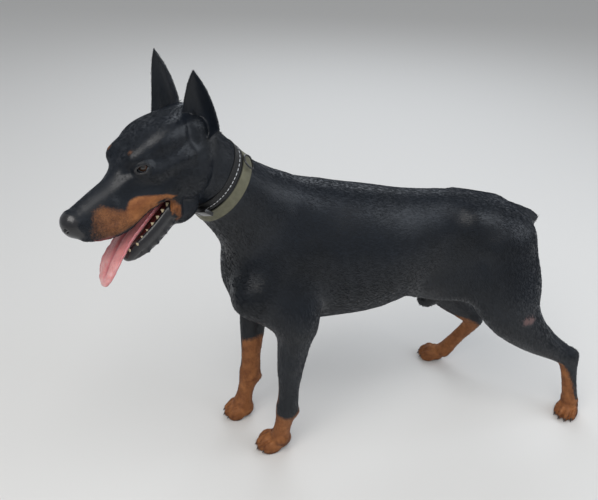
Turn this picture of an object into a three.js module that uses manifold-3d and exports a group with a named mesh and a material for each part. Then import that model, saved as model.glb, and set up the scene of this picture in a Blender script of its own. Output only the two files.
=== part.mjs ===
// A life-size standing Doberman pinscher, cropped and docked, with two collars.
// Millimetres, +Z up. The dog faces -X, its own left side is at -Y, and it stands on Z = 0.
import * as THREE from "three";
import { mergeVertices } from "three/addons/utils/BufferGeometryUtils.js";
import Module from "manifold-3d";

const wasm = await Module();
wasm.setup();

// Driving dimensions
const GAP = 0.3;
const LEFT = -1;
const RIGHT = 1;
// Turns are in degrees.
const HEAD_YAW = 35.5;
const HEAD_PITCH = 17.3;
const HEAD_ROLL = 8.9;
const JAW_OPENING = 24;
const OCCIPUT = [-234, -89, 906];
const JAW_HINGE = [48, 0, -112];
const EYE_CENTRE = [127, 33, -43];
const EYE_RADIUS = 13;
const STRAP_THICKNESS = 3;
const WIDE_STRAP = 26;
const NARROW_STRAP = 21;
const RING_RADIUS = 15;
const RING_WIRE = 2.2;
const RING_TURN = 270;
const BUCKLE_SIZE = [32, 22, 8];
const BUCKLE_TURN = 150;

// Places of the joints, shared by the bones and the muscles over them.
const shoulderPoint = (side) => [-98, side * 82, 470];
const elbow = { [LEFT]: [-4, -92, 366], [RIGHT]: [-56, 90, 366] };
const wrist = { [LEFT]: [-20, -81, 138], [RIGHT]: [-80, 74, 128] };
const foreFoot = { [LEFT]: [-34, -76, 44], [RIGHT]: [-100, 69, 42] };
const hip = { [LEFT]: [474, -66, 520], [RIGHT]: [456, 66, 520] };
const thighTop = (side) => [466, side * 40, 566];
const hock = { [LEFT]: [704, -120, 186], [RIGHT]: [563, 114, 160] };
const hindFoot = { [LEFT]: [738, -124, 44], [RIGHT]: [500, 146, 42] };
const thighMid = { [LEFT]: [498, -96, 410], [RIGHT]: [428, 92, 430] };
const stifle = { [LEFT]: [530, -108, 335], [RIGHT]: [420, 100, 345] };
const gaskin = { [LEFT]: [592, -114, 268], [RIGHT]: [462, 106, 268] };

// Fields: each takes a point and gives a rough distance, negative inside.

const dot = (a, b) => a[0] * b[0] + a[1] * b[1] + a[2] * b[2];
const minus = (a, b) => [a[0] - b[0], a[1] - b[1], a[2] - b[2]];
const along = (a, direction, t) => [
  a[0] + direction[0] * t,
  a[1] + direction[1] * t,
  a[2] + direction[2] * t,
];
const mix = (a, b, t) => a.map((value, i) => value + (b[i] - value) * t);
const cross = (a, b) => [
  a[1] * b[2] - a[2] * b[1],
  a[2] * b[0] - a[0] * b[2],
  a[0] * b[1] - a[1] * b[0],
];
const unit = (a) => a.map((value) => value / Math.hypot(...a));

// A limb between two places. sizeA and sizeB are the half widths [across, deep]
// at each end, and side is the direction that "across" is measured along.
function bone(a, b, sizeA, sizeB, side = [0, 1, 0]) {
  const span = minus(b, a);
  const length = Math.hypot(...span);
  const run = unit(span);
  const across = unit(along(side, run, -dot(side, run)));
  const deep = cross(run, across);
  return (p) => {
    const d = minus(p, a);
    const reach = dot(d, run);
    const t = Math.min(Math.max(reach / length, 0), 1);
    const wide = sizeA[0] + (sizeB[0] - sizeA[0]) * t;
    const tall = sizeA[1] + (sizeB[1] - sizeA[1]) * t;
    const cap = Math.min(wide, tall);
    const s = dot(d, across);
    const u = dot(d, deep);
    const v = reach - t * length;
    const near = Math.hypot(s / wide, u / tall, v / cap);
    const slope = Math.hypot(s / wide ** 2, u / tall ** 2, v / cap ** 2);
    return slope > 1e-9 ? (near * (near - 1)) / slope : -cap;
  };
}

// An ellipsoid, turned by degrees about Z and then about its own Y.
function mass(centre, radii, turn = 0, tip = 0) {
  const [yaw, pitch] = [turn, tip].map(THREE.MathUtils.degToRad);
  const [cy, sy, cp, sp] = [Math.cos(yaw), Math.sin(yaw), Math.cos(pitch), Math.sin(pitch)];
  const axes = [
    [cy * cp, sy * cp, -sp],
    [-sy, cy, 0],
    [cy * sp, sy * sp, cp],
  ];
  return (p) => {
    const d = minus(p, centre);
    const q = axes.map((axis, i) => dot(d, axis) / radii[i]);
    const near = Math.hypot(...q);
    const slope = Math.hypot(...q.map((value, i) => value / radii[i]));
    return slope > 1e-9 ? (near * (near - 1)) / slope : -Math.min(...radii);
  };
}

// A tapering run of stations [place, [across, deep]], rounded between them.
function run(stations, side = [0, 1, 0], steps = 3) {
  const line = new THREE.CatmullRomCurve3(
    stations.map(([place]) => new THREE.Vector3(...place)),
    false,
    "centripetal",
  );
  const sizes = new THREE.CatmullRomCurve3(
    stations.map(([, [across, deep]]) => new THREE.Vector3(across, deep, 0)),
    false,
    "centripetal",
  );
  const count = (stations.length - 1) * steps;
  const at = (i) => [
    line.getPoint(i / count).toArray(),
    sizes.getPoint(i / count).toArray(),
  ];
  const pieces = [];
  for (let i = 0; i < count; i++) {
    const [a, sizeA] = at(i);
    const [b, sizeB] = at(i + 1);
    pieces.push(bone(a, b, sizeA, sizeB, side));
  }
  return (p) => Math.min(...pieces.map((piece) => piece(p)));
}

// The smooth join of two distances over a width k.
function join(a, b, k) {
  const h = Math.max(k - Math.abs(a - b), 0) / k;
  return Math.min(a, b) - (h * h * k) / 4;
}
const blend = (k, ...fields) => (p) =>
  fields.map((field) => field(p)).reduce((a, b) => join(a, b, k));
const carve = (k, field, ...tools) => (p) =>
  tools.reduce((a, tool) => -join(-a, tool(p), k), field(p));

// The trunk: chest, loin and croup as one run, then the muscles over them.
const trunkStations = [
  [[-98, 0, 476], [54, 66]],
  [[-44, 0, 514], [84, 126]],
  [[30, 0, 520], [98, 164]],
  [[110, 0, 512], [112, 160]],
  [[190, 0, 506], [110, 150]],
  [[270, 0, 516], [92, 128]],
  [[340, 0, 528], [80, 108]],
  [[420, 0, 524], [84, 94]],
  [[500, 0, 504], [80, 78]],
  [[540, 0, 492], [60, 62]],
];
const shoulderForms = (side) => [
  bone([10, side * 30, 640], shoulderPoint(side), [28, 56], [40, 50], [0, 1, 0]),
  bone(shoulderPoint(side), along(elbow[side], [0, 0, 1], 30), [40, 50], [34, 40]),
  bone([24, side * 62, 560], along(elbow[side], [0.3, 0, 1], 40), [36, 60], [32, 44]),
  mass([-104, side * 34, 450], [46, 44, 58]),
];
const hipForms = (side) => [
  bone([400, side * 44, 560], [505, side * 48, 535], [40, 46], [42, 50]),
];
const neckStations = [
  [[0, 0, 580], [80, 112]],
  [[-56, -10, 618], [76, 104]],
  [[-110, -30, 670], [67, 86]],
  [[-162, -54, 732], [60, 74]],
  [[-205, -74, 794], [55, 67]],
  [[-240, -92, 838], [48, 56]],
];
const sheathForm = run([
  [[326, 0, 346], [14, 15]],
  [[352, 0, 356], [17, 30]],
  [[406, 0, 404], [20, 44]],
]);
const bodyForm = blend(
  28,
  run(trunkStations),
  run(neckStations),
  ...shoulderForms(LEFT),
  ...shoulderForms(RIGHT),
  ...hipForms(LEFT),
  ...hipForms(RIGHT),
);
const torsoForm = bodyForm;

// The head, in its own frame: x forward from the occiput, y to its left, z up.
const headForms = [
  run([
    [[6, 0, -52], [44, 46]],
    [[55, 0, -50], [55, 51]],
    [[105, 0, -50], [52, 49]],
    [[140, 0, -62], [41, 40]],
    [[175, 0, -72], [33, 34]],
    [[215, 0, -73], [28, 32]],
    [[252, 0, -72], [25, 28]],
    [[268, 0, -70], [21, 23]],
  ]),
  mass([270, 0, -63], [15, 18, 17]),
  ...[LEFT, RIGHT].flatMap((side) => [
    run([
      [[266, side * -13, -88], [8, 14]],
      [[235, side * -21, -99], [9, 20]],
      [[200, side * -27, -105], [9, 21]],
      [[160, side * -35, -99], [9, 18]],
      [[122, side * -41, -98], [9, 22]],
    ]),
    bone([118, side * -44, -62], [50, side * -52, -68], [10, 13], [12, 15]),
    mass([72, side * -34, -28], [48, 24, 26]),
    mass([126, side * -27, -26], [24, 17, 15]),
    mass([60, side * -44, -104], [40, 17, 44]),
    mass([EYE_CENTRE[0], side * -EYE_CENTRE[1], EYE_CENTRE[2]], [16, 16, 15]),
  ]),
  bone([70, 0, -138], [14, 0, -146], [34, 28], [40, 34]),
];
const headOwnForm = blend(13, ...headForms);

// The lower jaw, drawn shut and then turned about its hinge.
const jawForms = [
  run([
    [[70, 0, -130], [36, 22]],
    [[130, 0, -129], [31, 19]],
    [[190, 0, -122], [25, 16]],
    [[228, 0, -109], [19, 13]],
    [[243, 0, -104], [13, 9]],
  ]),
  ...[LEFT, RIGHT].map((side) =>
    run([
      [[84, side * 31, -116], [7, 12]],
      [[150, side * 25, -112], [6, 12]],
      [[205, side * 18, -104], [6, 11]],
      [[236, side * 8, -98], [6, 8]],
    ]),
  ),
];
const tongueForm = run([
  [[80, 0, -128], [20, 9]],
  [[130, 0, -142], [24, 8]],
  [[180, 0, -152], [27, 7]],
  [[222, 2, -157], [28, 6]],
  [[252, 4, -168], [27, 5]],
  [[272, 6, -182], [20, 4.5]],
  [[281, 7, -190], [10, 4]],
]);

// A limb's own form, ending inside its paw.
const foreLegForm = (side) =>
  blend(
    16,
    run(
      [
        [along(elbow[side], [0, 0, 1], 60), [36, 46]],
        [elbow[side], [31, 38]],
        [mix(elbow[side], wrist[side], 0.4), [25, 30]],
        [mix(elbow[side], wrist[side], 0.75), [21, 23]],
        [wrist[side], [24, 26]],
        [mix(wrist[side], foreFoot[side], 0.55), [21, 21]],
        [foreFoot[side], [25, 22]],
      ],
      [0, 1, 0],
    ),
    mass(along(along(elbow[side], [1, 0, 0], 30), [0, 0, 1], -2), [16, 18, 26]),
    mass(along(along(wrist[side], [1, 0, 0], 24), [0, 0, 1], -16), [9, 11, 13]),
  );
const hindLegForm = (side) =>
  blend(
    18,
    run(
      [
        [thighTop(side), [28, 58]],
        [hip[side], [42, 82]],
        [thighMid[side], [47, 88]],
        [stifle[side], [40, 64]],
        [gaskin[side], [32, 43]],
        [mix(gaskin[side], hock[side], 0.6), [23, 29]],
        [along(hock[side], [-1, 0, 0], 4), [20, 26]],
        [mix(hock[side], hindFoot[side], 0.5), [18, 20]],
        [hindFoot[side], [22, 21]],
      ],
      [0, 1, 0],
    ),
    mass(along(hock[side], [1, 0, 0.5], 14), [12, 12, 15]),
    bone([372, side * 56, 500], along(thighMid[side], [-1, -side * 0.2, 0], 30), [24, 40], [30, 50]),
  );

// Wrapping: a skin of rings cast outward from an axis to where a field is zero.

// One ring's frame: its centre, its normal along the axis, and the up direction.
function frames(centres, normals, up) {
  return centres.map((centre, i) => {
    const normal = unit(normals[i]);
    const across = unit(cross(up, normal));
    return { centre, normal, across, up: cross(normal, across) };
  });
}

function castRing(field, frame, segments, farthest) {
  const points = [];
  for (let i = 0; i < segments; i++) {
    const angle = (i / segments) * 2 * Math.PI;
    const ray = along(
      frame.across.map((value) => value * Math.cos(angle)),
      frame.up,
      Math.sin(angle),
    );
    let reach = 0;
    for (let step = 0; step < 90 && reach < farthest; step++) {
      const distance = field(along(frame.centre, ray, reach));
      if (distance > -0.05) break;
      reach += Math.max(-distance * 0.7, 0.05);
    }
    points.push(along(frame.centre, ray, Math.max(Math.min(reach, farthest), 0.4)));
  }
  return points;
}

// Joins rings of equal counts into one closed solid with a fan at each end.
function skinOf(rings, startPole, endPole) {
  const segments = rings[0].length;
  const positions = [...rings.flat(), startPole, endPole].flat();
  const first = rings.length * segments;
  const index = [];
  for (let j = 0; j + 1 < rings.length; j++) {
    for (let i = 0; i < segments; i++) {
      const [a, b] = [j * segments + i, j * segments + ((i + 1) % segments)];
      const [c, d] = [a + segments, b + segments];
      index.push(a, b, d, a, d, c);
    }
  }
  const last = (rings.length - 1) * segments;
  for (let i = 0; i < segments; i++) {
    const next = (i + 1) % segments;
    index.push(first, next, i, first + 1, last + i, last + next);
  }
  const geometry = new THREE.BufferGeometry();
  geometry.setAttribute("position", new THREE.Float32BufferAttribute(positions, 3));
  geometry.setIndex(index);
  return geometry;
}

function solidOf(geometry) {
  const bare = geometry.clone();
  bare.deleteAttribute("normal");
  bare.deleteAttribute("uv");
  const merged = mergeVertices(bare, 1e-4);
  const made = new wasm.Manifold(
    new wasm.Mesh({
      numProp: 3,
      vertProperties: new Float32Array(merged.attributes.position.array),
      triVerts: new Uint32Array(merged.index.array),
    }),
  );
  if (made.volume() > 0) return made;
  merged.index.array.reverse();
  return new wasm.Manifold(
    new wasm.Mesh({
      numProp: 3,
      vertProperties: new Float32Array(merged.attributes.position.array),
      triVerts: new Uint32Array(merged.index.array),
    }),
  );
}

function geometryOf(solid) {
  const mesh = solid.getMesh();
  const geometry = new THREE.BufferGeometry();
  geometry.setAttribute(
    "position",
    new THREE.Float32BufferAttribute(mesh.vertProperties, 3),
  );
  geometry.setIndex(new THREE.BufferAttribute(mesh.triVerts, 1));
  geometry.computeVertexNormals();
  return geometry;
}

// A wrapped solid along a curve through the centres. grow moves the skin outward.
function wrap(field, centres, up, options = {}) {
  const { rings = 16, segments = 20, farthest = 260, grow = 0, ends = null } = options;
  const curve = new THREE.CatmullRomCurve3(
    centres.map((place) => new THREE.Vector3(...place)),
    false,
    "centripetal",
  );
  const grown = (p) => field(p) - grow;
  const places = [];
  const normals = [];
  for (let i = 0; i < rings; i++) {
    const t = i / (rings - 1);
    places.push(curve.getPointAt(t).toArray());
    const turned = ends ? mix(ends[0], ends[1], t) : curve.getTangentAt(t).toArray();
    normals.push(turned);
  }
  const made = frames(places, normals, up).map((frame) =>
    castRing(grown, frame, segments, farthest),
  );
  return solidOf(skinOf(made, places[0], places[rings - 1]));
}

// Frames of the head and of the open jaw.
const headFrame = new THREE.Matrix4()
  .makeTranslation(...OCCIPUT)
  .multiply(new THREE.Matrix4().makeRotationZ(Math.PI + THREE.MathUtils.degToRad(HEAD_YAW)))
  .multiply(new THREE.Matrix4().makeRotationY(THREE.MathUtils.degToRad(HEAD_PITCH)))
  .multiply(new THREE.Matrix4().makeRotationX(THREE.MathUtils.degToRad(HEAD_ROLL)));
const headInverse = headFrame.clone().invert();
const moved = (matrix, p) => new THREE.Vector3(...p).applyMatrix4(matrix).toArray();
const jawFrame = new THREE.Matrix4()
  .makeTranslation(...JAW_HINGE)
  .multiply(new THREE.Matrix4().makeRotationY(THREE.MathUtils.degToRad(JAW_OPENING)))
  .multiply(new THREE.Matrix4().makeTranslation(...JAW_HINGE.map((value) => -value)));
const jawInverse = jawFrame.clone().invert();

const headToBody = (field) => (p) => field(moved(headInverse, p));
const bodyToHead = (field) => (p) => field(moved(headFrame, p));
const headForm = (p) => join(headOwnForm(p), bodyToHead(run(neckStations))(p), 26);
const neckForm = (p) => join(bodyForm(p), headToBody(headOwnForm)(p), 26);
const jawForm = (p) => blend(8, ...jawForms)(moved(jawInverse, p));

// Solids from three.js shapes, placed by a matrix.
function placed(geometry, matrix) {
  return solidOf(geometry.clone().applyMatrix4(matrix));
}
function lookAlong(place, direction, roll = 0) {
  const turn = new THREE.Quaternion().setFromUnitVectors(
    new THREE.Vector3(0, 0, 1),
    new THREE.Vector3(...direction).normalize(),
  );
  return new THREE.Matrix4()
    .makeTranslation(...place)
    .multiply(new THREE.Matrix4().makeRotationFromQuaternion(turn))
    .multiply(new THREE.Matrix4().makeRotationZ(roll));
}
function ellipsoid(place, radii, turn = 0, tip = 0, around = 12, high = 8) {
  const matrix = new THREE.Matrix4()
    .makeTranslation(...place)
    .multiply(new THREE.Matrix4().makeRotationZ(THREE.MathUtils.degToRad(turn)))
    .multiply(new THREE.Matrix4().makeRotationY(THREE.MathUtils.degToRad(tip)))
    .multiply(new THREE.Matrix4().makeScale(...radii));
  return placed(new THREE.SphereGeometry(1, around, high), matrix);
}
function cone(place, direction, radius, length, sides = 6) {
  const shape = new THREE.ConeGeometry(radius, length, sides).rotateX(Math.PI / 2);
  return placed(shape, lookAlong(along(place, unit(direction), length / 2), direction));
}

// A half space as a large box whose near face passes through a place.
const HALF_SPACE = 3000;
function halfSpace(place, normal) {
  const box = new THREE.BoxGeometry(HALF_SPACE, HALF_SPACE, HALF_SPACE);
  return placed(box, lookAlong(along(place, unit(normal), HALF_SPACE / 2), normal));
}
function largest(solid) {
  const bodies = solid.decompose();
  return bodies.reduce((a, b) => (b.volume() > a.volume() ? b : a));
}
const without = (solid, ...tools) => tools.reduce((a, tool) => a.subtract(tool), solid);
const together = (solids) => wasm.Manifold.union(solids);
const inBody = (solid) => solid.transform(headFrame.toArray());

// Where the torso meets the neck, and the neck the head.
const torsoCut = { place: [-78, -18, 650], normal: unit([-0.62, -0.15, 0.77]) };
const headCut = {
  place: moved(headFrame, [18, 0, -96]),
  normal: minus(moved(headFrame, [0.83, 0, 0.555]), moved(headFrame, [0, 0, 0])),
};
const flipped = (a) => a.map((value) => -value);
const after = (cut, side) => along(cut.place, unit(cut.normal), (side * GAP) / 2);

// Paws: a sole, four toes and their claws, flat where they rest.
function paw(heel, toe, width, height) {
  const span = minus(toe, heel);
  const length = Math.hypot(...span);
  const ahead = unit(span);
  const across = cross([0, 0, 1], ahead);
  const turn = THREE.MathUtils.radToDeg(Math.atan2(ahead[1], ahead[0]));
  const at = (forward, sideways, up) =>
    along(along(along(heel, ahead, forward * length), across, sideways * width), [0, 0, 1], up);
  const parts = [
    ellipsoid(at(0.4, 0, height * 0.48), [length * 0.4, width * 0.42, height * 0.54], turn, 6, 14, 8),
  ];
  for (const [sideways, forward] of [[-0.36, 0.6], [-0.13, 0.72], [0.13, 0.72], [0.36, 0.6]]) {
    const splay = THREE.MathUtils.radToDeg(sideways * 0.35);
    const size = [length * 0.27, width * 0.155, height * 0.38];
    parts.push(ellipsoid(at(forward, sideways, height * 0.34), size, turn + splay, 8, 10, 7));
    const root = at(forward + 0.2, sideways * 1.04, height * 0.3);
    parts.push(cone(root, along(along(ahead, across, sideways * 0.3), [0, 0, -1], 0.55), 4, 17));
  }
  return together(parts);
}
const floorTool = halfSpace([0, 0, 0], [0, 0, -1]);

const foreSoles = {
  [LEFT]: [[-4, -62, 0], [-92, -66, 0]],
  [RIGHT]: [[-74, 60, 0], [-150, 70, 0]],
};
const hindSoles = {
  [LEFT]: [[764, -104, 0], [704, -154, 0]],
  [RIGHT]: [[506, 148, 0], [446, 191, 0]],
};

// The torso, with the neck and legs parted from it.
const torsoCentres = [
  [-118, 0, 462],
  [-60, 0, 530],
  [30, 0, 530],
  [190, 0, 520],
  [340, 0, 540],
  [480, 0, 520],
  [566, 0, 500],
];
const torsoShape = { rings: 28, segments: 26, farthest: 230, ends: [[1, 0, 0.2], [1, 0, -0.1]] };
const torsoSkin = (grow) => wrap(torsoForm, torsoCentres, [0, 0, 1], { ...torsoShape, grow });
const sheathCentres = [
  [314, 0, 345],
  [352, 0, 358],
  [408, 0, 406],
];
const sheathShape = { rings: 8, segments: 12, farthest: 60 };
const sheathSkin = (grow) => wrap(sheathForm, sheathCentres, [0, 0, 1], { ...sheathShape, grow });
const torsoWhole = together([torsoSkin(0), sheathSkin(0)]);
const torsoGrown = together([torsoSkin(GAP), sheathSkin(GAP)]);

const neckCentres = [
  [-20, -4, 596],
  [-110, -30, 672],
  [-162, -54, 732],
  [-205, -74, 794],
  [-238, -90, 842],
];
const neckWhole = wrap(neckForm, neckCentres, [-0.8, -0.2, -0.5], {
  rings: 14,
  segments: 28,
  farthest: 170,
});

const headCentres = [
  [-34, 0, -70],
  [60, 0, -66],
  [140, 0, -68],
  [215, 0, -74],
  [284, 0, -66],
];
const headShape = { rings: 30, segments: 24, farthest: 150, ends: [[1, 0, 0], [1, 0, 0]] };
const headSkin = (grow) => wrap(headForm, headCentres, [0, 0, 1], { ...headShape, grow });

// The opening between the lids, the sockets and the nostrils.
const eyePlace = (side) => [EYE_CENTRE[0], side * -EYE_CENTRE[1], EYE_CENTRE[2]];
const gaze = (side) => unit([0.66, side * -0.74, 0.12]);
const eyeball = (side, grow) => {
  const shape = new THREE.SphereGeometry(EYE_RADIUS + grow, 16, 10);
  return placed(shape, lookAlong(eyePlace(side), gaze(side)));
};
function lidOpening(side) {
  const place = along(eyePlace(side), gaze(side), EYE_RADIUS);
  const turn = THREE.MathUtils.radToDeg(Math.atan2(gaze(side)[1], gaze(side)[0]));
  return ellipsoid(place, [9, 11, 6.2], turn, 0, 14, 8);
}
function nostril(side) {
  return together([
    ellipsoid([283, side * 7.5, -62], [9, 4.2, 5], side * 28, 0, 10, 6),
    ellipsoid([276, side * 14.5, -66], [7, 5, 2.4], side * -38, 0, 10, 6),
  ]);
}

// Teeth: canines, then a shrinking row behind each, and small ones in front.
function teeth(row, upward) {
  const made = [];
  const { canine, back, front, size } = row;
  for (const side of [LEFT, RIGHT]) {
    const mirrored = ([x, y, z]) => [x, side * y, z];
    made.push(cone(mirrored(canine), [0.22, side * 0.12, upward], size * 1.15, size * 4.6));
    for (let i = 0; i < back.count; i++) {
      const t = i / (back.count - 1);
      const place = mirrored(mix(back.from, back.to, t));
      made.push(cone(place, [0, 0, upward], size * (0.9 + t * 0.5), size * (1.9 + t * 0.8)));
    }
    for (let i = 0; i < 3; i++) {
      made.push(cone(mirrored(along(front, [-0.25 * i, 1, 0], 2 + i * 4)), [0.3, 0, upward], 2, 9));
    }
  }
  return made;
}
const lowerTeeth = teeth(
  {
    canine: [229, 13, -97],
    back: { from: [212, 17, -96], to: [122, 28, -103], count: 6 },
    front: [240, 0, -96],
    size: 4,
  },
  1,
);
const upperTeeth = teeth(
  {
    canine: [246, 15, -94],
    back: { from: [226, 19, -99], to: [146, 30, -99], count: 4 },
    front: [262, 0, -90],
    size: 4,
  },
  -1,
);

// An ear: a cupped blade from its root to a pointed tip.
function ear(side, root, tip, width, curl, open) {
  const rings = [];
  const count = 13;
  const half = 6;
  const line = unit(minus(tip, root));
  const facing = unit(along(open, line, -dot(open, line)));
  const broad = cross(line, facing);
  for (let j = 0; j <= count; j++) {
    const t = j / count;
    const centre = along(mix(root, tip, t), facing, -7 * Math.sin(Math.PI * t));
    const wide = j === 0 ? 3 : width * (1 - t ** 1.7) ** 0.85 * Math.min(1, 0.3 + t * 5) + 2;
    const deep = j === 0 ? 0 : curl * (1 - t) ** 0.8 + 1.5;
    const thick = 2.6 - t * 1.1;
    const outer = [];
    const inner = [];
    for (let i = 0; i <= half; i++) {
      const s = (i / half) * 2 - 1;
      const bow = deep * (s * s - 0.35);
      const spot = along(along(centre, broad, wide * s), facing, bow);
      const edge = 0.45 + 0.55 * (1 - s * s);
      outer.push(along(spot, facing, -thick * edge));
      inner.unshift(along(spot, facing, thick * edge));
    }
    rings.push([...outer, ...inner]);
  }
  return solidOf(skinOf(rings, root, along(tip, line, 1)));
}

const headPlain = headSkin(0);
const headGrown = headSkin(GAP);
const headSolid = without(
  together([headPlain, ...upperTeeth]),
  eyeball(LEFT, GAP),
  eyeball(RIGHT, GAP),
  lidOpening(LEFT),
  lidOpening(RIGHT),
  nostril(LEFT),
  nostril(RIGHT),
);

const tongueCentres = [
  [74, 0, -127],
  [130, 0, -142],
  [180, 0, -152],
  [222, 2, -157],
  [252, 4, -168],
  [272, 6, -182],
  [283, 7, -192],
];
const tongueSkin = (grow) =>
  wrap(tongueForm, tongueCentres, [0, 0, 1], { rings: 14, segments: 16, farthest: 50, grow });
const jawCentres = [
  [60, 0, -138],
  [130, 0, -160],
  [190, 0, -180],
  [236, 0, -190],
].map((place) => place);
const jawSkin = wrap(jawForm, jawCentres, [0, 0, 1], {
  rings: 22,
  segments: 20,
  farthest: 60,
  ends: [[0.96, 0, -0.3], [0.96, 0, -0.3]],
});
const lowerTeethOpen = lowerTeeth.map((tooth) => tooth.transform(jawFrame.toArray()));

// A strap around the neck: at each angle an inner and an outer corner pair.
function strap(place, normal, breadth, lift, grow = 0) {
  const width = breadth + 2 * grow;
  const frame = frames([place], [normal], [-1, 0, 0])[0];
  const around = 44;
  const profile = [
    [-0.5, 0],
    [0.5, 0],
    [0.5, 1],
    [-0.5, 1],
  ];
  const reaches = [-0.5, 0.5].map((t) =>
    castRing(neckForm, { ...frame, centre: along(place, frame.normal, t * width) }, around, 150),
  );
  const positions = [];
  for (let i = 0; i < around; i++) {
    for (const [t, out] of profile) {
      const spot = reaches[t < 0 ? 0 : 1][i];
      const centre = along(place, frame.normal, t * width);
      const ray = unit(minus(spot, centre));
      positions.push(...along(spot, ray, GAP + lift - grow + out * (STRAP_THICKNESS + 2 * grow)));
    }
  }
  const index = [];
  for (let i = 0; i < around; i++) {
    const next = (i + 1) % around;
    for (let k = 0; k < 4; k++) {
      const [a, b] = [i * 4 + k, i * 4 + ((k + 1) % 4)];
      const [c, d] = [next * 4 + k, next * 4 + ((k + 1) % 4)];
      index.push(a, b, d, a, d, c);
    }
  }
  const geometry = new THREE.BufferGeometry();
  geometry.setAttribute("position", new THREE.Float32BufferAttribute(positions, 3));
  geometry.setIndex(index);
  return solidOf(geometry);
}

// A place on the skin of the neck, at a turn about the strap's own middle.
function onNeck(at, degrees, lift) {
  const frame = frames([at.place], [at.normal], [-1, 0, 0])[0];
  const turns = 72;
  const index = ((Math.round((degrees / 360) * turns) % turns) + turns) % turns;
  const spot = castRing(neckForm, frame, turns, 150)[index];
  const out = unit(minus(spot, at.place));
  return { spot: along(spot, out, lift), out, across: frame.normal };
}
// A matrix at such a place: z points out of the neck and y along the neck.
function onNeckMatrix({ spot, out, across }) {
  const z = new THREE.Vector3(...out);
  const x = new THREE.Vector3(...across).cross(z).normalize();
  const y = z.clone().cross(x);
  return new THREE.Matrix4().makeBasis(x, y, z).setPosition(...spot);
}
const wideStrapAt = { place: [-158, -53, 724], normal: [-0.72, -0.31, 0.62] };
const narrowStrapAt = { place: [-174, -60, 746], normal: [-0.72, -0.32, 0.61] };

// Tail, docked short.
const tailForm = run([
  [[500, 0, 556], [34, 34]],
  [[540, 0, 562], [26, 26]],
  [[575, 0, 552], [20, 20]],
  [[594, 0, 543], [15, 15]],
]);
const tailSkin = wrap(tailForm, [[500, 0, 556], [540, 0, 562], [575, 0, 552], [606, 0, 537]], [0, 0, 1], {
  rings: 14,
  segments: 14,
  farthest: 60,
});

function foreLeg(side) {
  const top = along(elbow[side], [0, 0, 1], 84);
  const centres = [
    top,
    elbow[side],
    mix(elbow[side], wrist[side], 0.5),
    wrist[side],
    along(foreFoot[side], [0, 0, 1], -16),
  ];
  const limb = wrap(foreLegForm(side), centres, [-1, 0, 0], { rings: 16, segments: 14, farthest: 90 });
  const [heel, toe] = foreSoles[side];
  return largest(without(together([limb, paw(heel, toe, 60, 48)]), torsoGrown, floorTool));
}
function hindLeg(side) {
  const centres = [
    thighTop(side),
    hip[side],
    thighMid[side],
    stifle[side],
    gaskin[side],
    mix(gaskin[side], hock[side], 0.6),
    hock[side],
    mix(hock[side], hindFoot[side], 0.5),
    along(hindFoot[side], [0, 0, 1], -16),
  ];
  const limb = wrap(hindLegForm(side), centres, [-1, 0, 0.2], {
    rings: 22,
    segments: 16,
    farthest: 180,
  });
  const [heel, toe] = hindSoles[side];
  return largest(without(together([limb, paw(heel, toe, 56, 44)]), torsoGrown, floorTool));
}

const black = { color: 0x17181b, roughness: 0.5, metalness: 0 };
const flesh = { color: 0xe79aa6, roughness: 0.45, metalness: 0 };
const dark = { color: 0x2a1a10, roughness: 0.15, metalness: 0 };
const olive = { color: 0x5c6046, roughness: 0.6, metalness: 0 };
const metalBlack = { color: 0x161616, roughness: 0.4, metalness: 0.6 };
const webbing = { color: 0x141416, roughness: 0.7, metalness: 0 };

const group = new THREE.Group();
group.name = "doberman_pinscher";
function add(name, solid, look) {
  const mesh = new THREE.Mesh(geometryOf(largest(solid)), new THREE.MeshStandardMaterial(look));
  mesh.name = name;
  group.add(mesh);
  return mesh;
}

const neckSide = halfSpace(after(torsoCut, -1), torsoCut.normal);
const torsoSide = halfSpace(after(torsoCut, 1), flipped(torsoCut.normal));
const headSide = halfSpace(after(headCut, -1), headCut.normal);
const bodySide = halfSpace(after(headCut, 1), flipped(headCut.normal));

const headInBody = without(inBody(headSolid), bodySide);
const headGrownInBody = inBody(headGrown);
const tongueInBody = without(inBody(tongueSkin(0)), headGrownInBody);
const tongueGrown = inBody(tongueSkin(GAP));

add("torso", without(torsoWhole, neckSide), black);
add("neck", without(neckWhole, torsoSide, headSide), black);
add("head", headInBody, black);
const neckGrown = without(
  wrap((p) => neckForm(p) - GAP, neckCentres, [-0.8, -0.2, -0.5], { rings: 14, segments: 28, farthest: 170 }),
  torsoSide,
);
add(
  "jaw",
  without(inBody(together([jawSkin, ...lowerTeethOpen])), headGrownInBody, neckGrown, tongueGrown),
  black,
);
add("tongue", without(tongueInBody, neckGrown), flesh);
const earAt = {
  [LEFT]: { root: [8, 46, -66], tip: [-22, 56, 52], open: [0.82, 0.57, 0.1] },
  [RIGHT]: { root: [2, -40, -50], tip: [-40, -58, 76], open: [1, 0.05, 0.1] },
};
for (const [side, name] of [[LEFT, "left"], [RIGHT, "right"]]) {
  const { root, tip, open } = earAt[side];
  add(`ear_${name}`, without(inBody(ear(side, root, tip, 33, 15, open)), headGrownInBody), black);
  add(`eye_${name}`, inBody(eyeball(side, 0)), dark);
}
add("tail", without(tailSkin, torsoGrown), black);
for (const [side, name] of [[LEFT, "left"], [RIGHT, "right"]]) {
  add(`foreleg_${name}`, foreLeg(side), black);
  add(`hindleg_${name}`, hindLeg(side), black);
}
for (const [name, at, width, look] of [
  ["collar_wide", wideStrapAt, WIDE_STRAP, olive],
  ["collar_narrow", narrowStrapAt, NARROW_STRAP, webbing],
]) {
  const band = strap(at.place, at.normal, width, 1.2);
  add(name, without(band, neckGrown, torsoGrown, headGrownInBody), look);
}

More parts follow.
